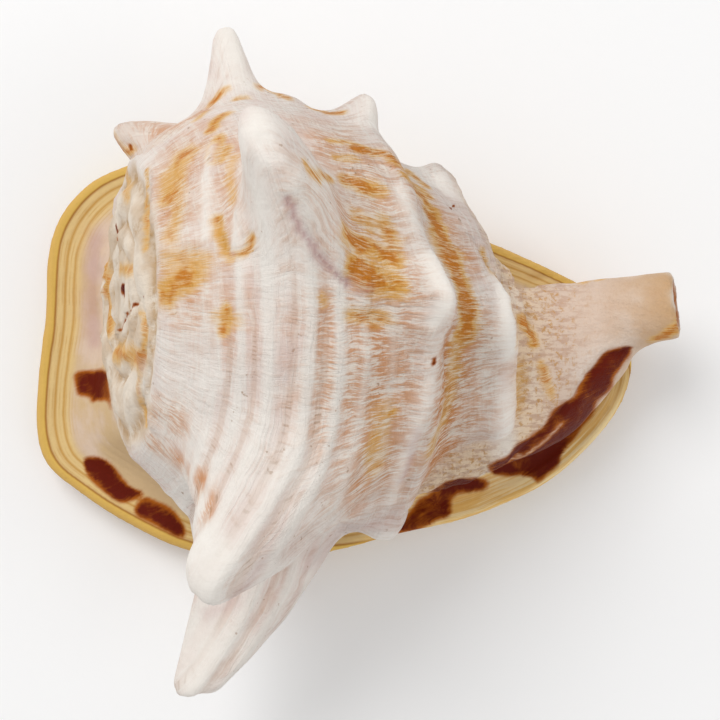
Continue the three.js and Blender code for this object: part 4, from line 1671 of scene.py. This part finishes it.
@dataclass(frozen=True)
class Ragged:
    """Breaks a soft mask into ragged, streaked patches."""

    grain: float = 260.0
    streak_weight: float = 6.0

    def build(self) -> bpy.types.NodeTree:
        """Make the group: the mask plus streaks and noise, cut off softly at a half, thin in streaks.

        Returns:
            The group.
        """
        inputs = ("Mask", "Streaks", "Streaking", "Softness")
        sheet, start, end = group_sheet("ragged_patch", inputs, ("Patch",))
        mask, streaks, streaking, softness = (start.outputs[name] for name in inputs)
        rough = sheet.centred(sheet.noise(sheet.space(), self.grain, 5.0, 0.65))
        streak = sheet.times(sheet.centred(streaks), self.streak_weight)
        total = sheet.plus(mask, sheet.times(sheet.plus(rough, streak), streaking))
        low, high = sheet.math("SUBTRACT", 0.5, softness), sheet.plus(0.5, softness)
        gaps = sheet.rise(streaks, 0.40, 0.52, 1.0, 0.0)
        thin = sheet.times(gaps, sheet.rise(streaking, 0.2, 0.5, last=0.7))
        shown = sheet.times(sheet.rise(total, low, high), sheet.rise(mask, 0.02, 0.25), sheet.rest(thin))
        sheet.feed(end.inputs[0], shown)
        return sheet.tree


@dataclass(frozen=True)
class Patch:
    """How a kind of ragged patch is drawn and coloured.

    Attributes:
        streaking: Share of streaks and noise in its outline.
        softness: Half the width of its edge, as a share of the mask.
        unevenness: How far streaks and clouds vary the depth of its colour.
        weak: Its colour where the mask is weak.
        strong: Its colour where the mask is strong.
    """

    streaking: float
    softness: float
    unevenness: float
    weak: Colour
    strong: Colour


@dataclass(frozen=True)
class ShellFinish:
    """Colours of the shell, as linear values, and its one material."""

    pale: Colour = (0.88, 0.81, 0.75)
    pinkish: Colour = (0.78, 0.64, 0.58)
    line: Colour = (0.58, 0.37, 0.26)
    white: Colour = (0.88, 0.84, 0.78)
    wash: Colour = (0.60, 0.21, 0.035)
    wash_tint: Colour = (0.82, 0.58, 0.34)
    # The stain colours and their halo also paint two lines of shade along the whorl's overhanging left edge
    stain_and_shade_halo: Colour = (0.84, 0.58, 0.24)
    stains_and_shade: Patch = Patch(0.46, 0.48, 2.2, (0.72, 0.38, 0.09), (0.58, 0.20, 0.02))
    # The blotch colours also paint the body's shade on the plate's inner edge, in the last blotch
    blotches: Patch = Patch(0.09, 0.22, 1.0, (0.43, 0.115, 0.006), (0.125, 0.008, 0.0005))
    # Colour of the painted shade in creases, under horn C and where the body meets the plate
    pit: Colour = (0.36, 0.20, 0.10)
    mauve_shade: Colour = (0.52, 0.30, 0.29)
    spire: Colour = (0.84, 0.74, 0.62)
    spire_dim: Colour = (0.68, 0.54, 0.40)
    crust: Colour = (0.46, 0.25, 0.07)
    rim: Colour = (0.67, 0.40, 0.12)
    rim_inner: Colour = (0.76, 0.50, 0.12)
    groove: Colour = (0.40, 0.17, 0.03)
    cream: Colour = (0.78, 0.57, 0.26)
    tan_line: Colour = (0.60, 0.34, 0.09)
    inner: Colour = (0.68, 0.49, 0.28)
    lip_light: Colour = (0.96, 0.76, 0.42)
    lip_dark: Colour = (0.84, 0.50, 0.14)
    lip_rim: Colour = (0.80, 0.45, 0.07)
    base: Colour = (0.87, 0.68, 0.49)
    neck: Colour = (0.75, 0.59, 0.48)
    canal: Colour = (0.62, 0.39, 0.20)
    speckle: Colour = (0.58, 0.30, 0.09)
    shield: Colour = (0.74, 0.46, 0.26)
    throat: Colour = (0.45, 0.16, 0.04)
    tooth: Colour = (0.86, 0.78, 0.66)
    dust: Colour = (0.35, 0.26, 0.20)
    bump_height: float = 0.0009

    def build(self) -> bpy.types.Material:
        """Make the material from the zones, marks and growth lines.

        Returns:
            The material.
        """
        material = bpy.data.materials.new("shell_surface")
        material.use_nodes = True
        sheet = NodeSheet(material.node_tree)
        growth = sheet.add("ShaderNodeGroup", node_tree=GrowthLines().build())
        threads, lines, pits, streaks = growth.outputs
        plate, base, spire, inside = sheet.channels("zones")
        stain_and_shade, dark, worn, mauve_shade = sheet.channels("marks")
        wash, ridge, under, rim = sheet.channels("tones")
        space = sheet.space()
        ragged = Ragged().build()
        grain = sheet.noise(space, 700.0, 3.0, 0.7)
        rough = sheet.noise(space, 160.0, 6.0, 0.7)
        colour = sheet.layered(
            self.whorl(sheet, (threads, lines, pits, streaks), (wash, ridge)),
            (base, self.slope(sheet)),
            (spire, self.apex(sheet, rough, wash)),
            (sheet.rise(stain_and_shade, 0.0, 0.8, last=0.55), self.stain_and_shade_halo),
        )
        # Stains, among them two lines of painted shade along the whorl's overhanging edge
        colour = self.patched(sheet, colour, (ragged, sheet.times(stain_and_shade, 0.88), streaks), self.stains_and_shade)
        # Mauve painted shade on the whorl, then worn whites
        colour = sheet.layered(
            colour, (sheet.times(mauve_shade, 0.64), self.mauve_shade), (sheet.times(worn, 0.80), self.white)
        )
        # The plate gets the same mauve painted shade where the body meets it and under horn C
        flange = sheet.mix(sheet.times(mauve_shade, 0.55), self.flange(sheet, space, rim), self.mauve_shade)
        # Dark blotches of the lip; the last one is partly painted shade of the body on the plate
        colour = self.patched(sheet, sheet.mix(plate, colour, flange), (ragged, dark, streaks), self.blotches)
        clouds = sheet.noise(space, 28.0, 4.0)
        glazed = sheet.mix(sheet.rise(clouds, 0.35, 0.65), self.shield, self.cream)
        hole = sheet.mix(sheet.rise(sheet.split(space)[2], 0.002, 0.012), self.tooth, self.throat)
        colour = sheet.layered(colour, (under, glazed), (inside, hole))
        colour = sheet.mix(sheet.times(grain, 0.14), colour, self.dust, "MULTIPLY")
        gloss = sheet.math("MAXIMUM", inside, under)
        masks = (plate, base, spire, worn, gloss)
        inputs = {
            "IOR": 1.5,
            "Specular IOR Level": 0.11,
            "Coat Roughness": 0.15,
            "Base Color": colour,
            "Roughness": sheet.rise(gloss, 0.0, 1.0, 0.55, 0.28),
            "Coat Weight": sheet.times(gloss, 0.5),
            "Normal": self.bumps(sheet, (threads, lines), masks, (grain, rough)),
        }
        shader = sheet.made("ShaderNodeBsdfPrincipled", inputs)
        sheet.feed(sheet.add("ShaderNodeOutputMaterial").inputs["Surface"], shader)
        return material

    @staticmethod
    def patched(
        sheet: NodeSheet, ground: Value, masks: tuple[bpy.types.NodeTree, Value, Value], patch: Patch
    ) -> bpy.types.NodeSocket:
        """Lay ragged patches over a ground colour.

        Args:
            sheet: The material's sheet.
            ground: The colour under them.
            masks: The group that makes them ragged, their mask and the streaks.
            patch: How they are drawn and coloured.

        Returns:
            The colour with the patches on it.
        """
        tree, mask, streaks = masks
        inputs = {"Mask": mask, "Streaks": streaks, "Streaking": patch.streaking, "Softness": patch.softness}
        shown = sheet.made("ShaderNodeGroup", inputs, node_tree=tree)
        cloud = sheet.centred(sheet.noise(sheet.space(), 130.0, 4.0))
        uneven = sheet.times(sheet.plus(sheet.centred(streaks), cloud), patch.unevenness)
        depth = sheet.rise(sheet.plus(mask, uneven), 0.50, 1.0)
        return sheet.mix(shown, ground, sheet.mix(depth, patch.weak, patch.strong))

    def whorl(
        self, sheet: NodeSheet, sculpture: tuple[Value, ...], tones: tuple[Value, Value]
    ) -> bpy.types.NodeSocket:
        """Colour of the last whorl: pinkish clouds and growth lines, white cords, ochre wash and pits.

        Args:
            sheet: The material's sheet.
            sculpture: Threads, growth lines, pits and streaks.
            tones: Ochre wash, and share of a cord.

        Returns:
            The colour.
        """
        threads, lines, pits, streaks = sculpture
        wash, ridge = tones
        space = sheet.space()
        clouds = sheet.noise(space, 34.0, 5.0, 0.6)
        grit = sheet.plus(streaks, sheet.times(sheet.noise(space, 120.0, 5.0, 0.6), 0.4))
        trough = sheet.rise(sheet.times(ridge, -1.0), 0.2, 0.7)
        specks = sheet.noise(space, 430.0, 2.0)
        return sheet.layered(
            self.pinkish,
            (sheet.rise(clouds, 0.36, 0.62), self.pale),
            (sheet.rise(lines, 0.47, 0.64, last=0.44), self.line),
            (sheet.rise(threads, 0.48, 0.62, last=0.55), self.white),
            (sheet.times(wash, 0.30), self.wash_tint),
            (sheet.times(wash, sheet.rise(grit, 0.64, 0.76)), self.wash),
            (sheet.rise(ridge, 0.0, 1.0, last=0.75), self.white),
            (sheet.times(trough, 0.30), self.line),
            (sheet.times(pits, sheet.rise(trough, 0.75, 1.0), 0.50), self.pit),
            (sheet.rise(specks, 0.70, 0.76, last=0.6), self.pit),
        )

    def slope(self, sheet: NodeSheet) -> bpy.types.NodeSocket:
        """Colour from the base to the canal along X: tan, pink-tan, ochre, with speckles on the base.

        Args:
            sheet: The material's sheet.

        Returns:
            The colour.
        """
        space = sheet.space()
        along, aside, _ = sheet.split(space)
        stops = ((0.0, self.base), (0.22, self.base), (0.42, self.neck), (0.66, self.neck), (1.0, self.canal))
        near = sheet.rise(along, 0.062, 0.078, 1.0, 0.12)
        wrinkles = sheet.stretched(along, aside, (220.0, 700.0), 4.0, 0.65)
        columns = sheet.stretched(along, aside, (420.0, 45.0), 3.0, 0.6)
        grit = sheet.rise(sheet.noise(space, 560.0, 4.0, 0.7), 0.50, 0.62)
        return sheet.layered(
            sheet.ramp(sheet.rise(along, 0.030, 0.105), stops),
            (sheet.rise(sheet.noise(space, 40.0, 4.0), 0.45, 0.70, last=0.5), self.pale),
            (sheet.times(sheet.rise(wrinkles, 0.46, 0.60), near, 0.75), self.line),
            (sheet.times(grit, sheet.rise(columns, 0.40, 0.54), near, 0.80), self.speckle),
        )

    def apex(self, sheet: NodeSheet, rough: Value, suture: Value) -> bpy.types.NodeSocket:
        """Colour of the spire: pale and smooth, with dim patches, and brown crust in the sutures.

        Args:
            sheet: The material's sheet.
            rough: Coarse noise.
            suture: Share of a suture, from the wash.

        Returns:
            The colour.
        """
        space = sheet.space()
        ground = sheet.mix(sheet.rise(sheet.noise(space, 75.0, 3.0), 0.40, 0.62), self.spire, self.spire_dim)
        spots = sheet.rise(sheet.noise(space, 55.0, 2.0), 0.55, 0.68)
        crust = sheet.times(spots, sheet.rise(rough, 0.42, 0.60))
        lined = sheet.times(suture, sheet.rise(rough, 0.36, 0.56))
        return sheet.mix(sheet.times(sheet.math("MAXIMUM", crust, lined), 0.75), ground, self.crust)

    def flange(self, sheet: NodeSheet, space: Value, rim: Value) -> bpy.types.NodeSocket:
        """Colour of the plate by the distance from its rim: ochre, groove, cream with lines, cream.

        Towards the middle it gets pinkish clouds, and the outer lip has its own streaked ochre.

        Args:
            sheet: The material's sheet.
            space: Coordinates on the object.
            rim: Distance from the rim in decimetres.

        Returns:
            The colour.
        """
        bend = sheet.times(sheet.centred(sheet.noise(space, 60.0, 2.0)), 0.010)
        inwards = sheet.plus(rim, bend)
        stops = (
            (0.0, self.rim), (0.13, self.rim_inner), (0.155, self.groove), (0.185, self.cream),
            (0.24, self.cream), (0.27, self.tan_line), (0.30, self.cream), (0.36, self.cream),
            (0.385, self.tan_line), (0.42, self.cream), (0.52, self.inner), (1.0, self.inner),
        )
        fine = sheet.math("SINE", sheet.times(inwards, 560.0))
        broken = sheet.rise(sheet.noise(space, 95.0, 4.0, 0.6), 0.40, 0.60)
        band = sheet.times(sheet.rise(inwards, 0.03, 0.05), sheet.rise(inwards, 0.10, 0.15, 1.0, 0.1))
        clouds = sheet.rise(sheet.noise(space, 45.0, 4.0, 0.6), 0.42, 0.62)
        along, aside, _ = sheet.split(space)
        lip = sheet.times(sheet.rise(along, -0.002, 0.012), sheet.rise(aside, -0.018, -0.004, 1.0, 0.0))
        streaks = sheet.stretched(inwards, along, (110.0, 45.0), 4.0, 0.6)
        streaked = sheet.mix(sheet.rise(streaks, 0.40, 0.60), self.lip_light, self.lip_dark)
        streaked = sheet.mix(sheet.rise(inwards, 0.034, 0.050, 1.0, 0.0), streaked, self.lip_rim)
        return sheet.layered(
            sheet.ramp(sheet.times(inwards, 4.0), stops),
            (sheet.times(sheet.rise(inwards, 0.10, 0.15), clouds, 0.55), self.pinkish),
            (sheet.times(sheet.rise(fine, 0.1, 1.0), band, broken, 0.50), self.tan_line),
            (sheet.times(lip, 0.85), streaked),
        )

    def bumps(
        self,
        sheet: NodeSheet,
        sculpture: tuple[Value, Value],
        masks: tuple[Value, ...],
        textures: tuple[Value, Value],
    ) -> bpy.types.NodeSocket:
        """Bumps: growth lines and threads on the whorl, roughness on spire and base, little where worn.

        Args:
            sheet: The material's sheet.
            sculpture: Threads and growth lines.
            masks: Shares of plate, base, spire, worn places and glazed places.
            textures: Fine grain and coarse roughness.

        Returns:
            The normal.
        """
        threads, lines = sculpture
        plate, base, spire, worn, gloss = masks
        grain, rough = textures
        carved = sheet.plus(sheet.times(threads, 0.7), sheet.times(lines, 1.1))
        near = sheet.rise(sheet.split(sheet.space())[0], 0.040, 0.052, 1.0, 0.0)
        smoothed = sheet.times(sheet.rest(sheet.times(worn, 0.7)), sheet.rest(sheet.times(spire, 0.7)))
        height = sheet.times(carved, sheet.rest(plate), near, smoothed)
        rasped = (sheet.times(spire, rough, 1.6), sheet.times(base, rough, 1.7), sheet.times(grain, 0.12))
        height = sheet.times(sheet.plus(height, *rasped), sheet.rest(sheet.times(gloss, 0.9)))
        inputs = {"Strength": 1.0, "Distance": self.bump_height, "Height": height}
        return sheet.made("ShaderNodeBump", inputs)


# The whole shell
@dataclass(frozen=True)
class Shell:
    """The whole shell: unites the outer surfaces, cuts the aperture and dresses the result."""

    body: Body = Body()
    plate: Plate = Plate()
    canal: Canal = Canal()
    aperture: Aperture = Aperture()
    coarse: float = 0.9
    fine: float = 1.36

    def solid(self) -> tuple[bpy.types.Object, dict[str, bpy.types.Object]]:
        """Unite the outer surfaces, cut the openings, add the teeth and even the result out.

        Returns:
            The shell, and the surfaces that it was made from by name.
        """
        sources = {"body": self.body.build(), "plate": self.plate.build(), "neck": self.canal.build_neck()}
        first, *others = (Surface.of_object(piece) for piece in sources.values())
        outer = remeshed(first.with_others(others).to_object("outer"), self.coarse, 2)
        bores = [self.aperture.hollow_surface(), self.canal.bore_surface()]
        holes = self.aperture.slit_surface().with_others(bores)
        sources["inside"] = remeshed(holes.to_object("inside"), self.coarse, 3)
        cut = cut_from(outer, sources["inside"])
        shell = Surface.of_object(cut).with_others(self.aperture.ridge_surfaces()).to_object("shell_surface")
        removed(cut)
        return remeshed(shell, self.fine, 4), sources

    @staticmethod
    def measured(shell: bpy.types.Object, sources: dict[str, bpy.types.Object]) -> bpy.types.Object:
        """Store each vertex's distance from each source, and its place on the spiral.

        Args:
            shell: The finished shell.
            sources: The surfaces that it was made from.

        Returns:
            The shell with the new attributes.
        """
        tree = bpy.data.node_groups.new("measure", "GeometryNodeTree")
        for way in ("INPUT", "OUTPUT"):
            tree.interface.new_socket("Geometry", in_out=way, socket_type="NodeSocketGeometry")
        sheet = NodeSheet(tree)
        flow = sheet.add("NodeGroupInput").outputs[0]
        for name, source in sources.items():
            info = sheet.add("GeometryNodeObjectInfo")
            info.inputs["Object"].default_value = source
            near = sheet.add("GeometryNodeProximity", target_element="FACES")
            sheet.feed(near.inputs[0], info.outputs["Geometry"])
            flow = Shell.stored(sheet, flow, name, "FLOAT", near.outputs["Distance"])
            if name == "body":
                sample = sheet.add("GeometryNodeSampleNearestSurface", data_type="FLOAT_VECTOR")
                spiral = sheet.add("GeometryNodeInputNamedAttribute", data_type="FLOAT_VECTOR")
                spiral.inputs["Name"].default_value = "spiral"
                sheet.feed(sample.inputs["Mesh"], info.outputs["Geometry"])
                sheet.feed(sample.inputs["Value"], spiral.outputs["Attribute"])
                flow = Shell.stored(sheet, flow, "spiral", "FLOAT_VECTOR", sample.outputs["Value"])
        sheet.feed(sheet.add("NodeGroupOutput").inputs[0], flow)
        shell.modifiers.new("measure", "NODES").node_group = tree
        applied(shell)
        bpy.data.node_groups.remove(tree)
        return shell

    @staticmethod
    def stored(sheet: NodeSheet, flow: Value, name: str, kind: str, value: Value) -> bpy.types.NodeSocket:
        """Add a node that stores a value per vertex, and return the geometry after it.

        Args:
            sheet: The sheet of geometry nodes.
            flow: The geometry before the node.
            name: Name of the attribute.
            kind: Its data type.
            value: What to store.

        Returns:
            The geometry after the node.
        """
        node = sheet.add("GeometryNodeStoreNamedAttribute", data_type=kind, domain="POINT")
        node.inputs["Name"].default_value = name
        sheet.feed(node.inputs["Geometry"], flow)
        sheet.feed(node.inputs["Value"], value)
        return node.outputs["Geometry"]

    def build(self, box: np.ndarray) -> bpy.types.Object:
        """Make the finished shell in the common frame, inside a box, and dress it.

        Args:
            box: Lowest and highest corner in metres.

        Returns:
            The shell.
        """
        shell, sources = self.solid()
        self.measured(shell, sources)
        removed(*sources.values())
        form = FineForm(shell.data, self.plate, box)
        form.shape()
        form.mark()
        shell.data.shade_smooth()
        shell.data.materials.append(ShellFinish().build())
        shell.data.calc_loop_triangles()
        LOG.info("shell: %d triangles", len(shell.data.loop_triangles))
        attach(shell, "root")
        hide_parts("shell")
        return shell


# The studio
@dataclass(frozen=True)
class Studio:
    """A plain pale floor, an even sky and soft lamps."""

    floor_half: float = 3.0
    floor_colour: Colour = (0.93, 0.93, 0.93)
    sky_strength: float = 0.60
    aim: tuple[float, float, float] = (0, 0, 0.04)

    def build(self) -> None:
        """Make the floor, the sky and the lamps."""
        half = self.floor_half
        mesh = bpy.data.meshes.new("floor")
        corners = [(-half, -half, 0), (half, -half, 0), (half, half, 0), (-half, half, 0)]
        mesh.from_pydata(corners, [], [(0, 1, 2, 3)])
        floor = bpy.data.objects.new("floor", mesh)
        bpy.context.scene.collection.objects.link(floor)
        material = bpy.data.materials.new("floor")
        material.use_nodes = True
        shader = material.node_tree.nodes["Principled BSDF"]
        shader.inputs["Base Color"].default_value = (*self.floor_colour, 1)
        shader.inputs["Roughness"].default_value = 0.9
        mesh.materials.append(material)
        floor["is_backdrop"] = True
        world = bpy.data.worlds.new("sky")
        world.use_nodes = True
        background = world.node_tree.nodes["Background"]
        background.inputs["Color"].default_value = (1, 1, 1, 1)
        background.inputs["Strength"].default_value = self.sky_strength
        bpy.context.scene.world = world
        self.lamp("key", (-0.5, 0.7, 1.1), size=0.7, power=9.0)
        self.lamp("fill", (0.9, -0.4, 0.9), size=0.9, power=2.6)
        bpy.context.scene.view_settings.view_transform = "Standard"

    def lamp(self, name: str, where: tuple[float, float, float], size: float, power: float) -> None:
        """Hang a square lamp that faces the middle of the shell.

        Args:
            name: Its name.
            where: Its place in metres.
            size: Its side in metres.
            power: Its power in watts.
        """
        light = bpy.data.lights.new(name, "AREA")
        light.size = size
        light.energy = power
        lamp = bpy.data.objects.new(name, light)
        lamp.location = where
        target = np.array(self.aim) - where
        flat = np.hypot(target[0], target[1])
        lamp.rotation_euler = (np.arctan2(flat, -target[2]), 0, np.arctan2(target[1], target[0]) - np.pi / 2)
        bpy.context.scene.collection.objects.link(lamp)


def main() -> None:
    """Build the shell, the studio and the camera, and note the sizes."""
    logging.basicConfig(level=logging.INFO, format="%(name)s: %(message)s")
    cad_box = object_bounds()
    shell = Shell().build(np.array([[float(n) for n in corner] for corner in cad_box]))
    LOG.info("built %s", shell.name)
    Studio().build()
    VIEW.make_camera()


if __name__ == "__main__":
    main()
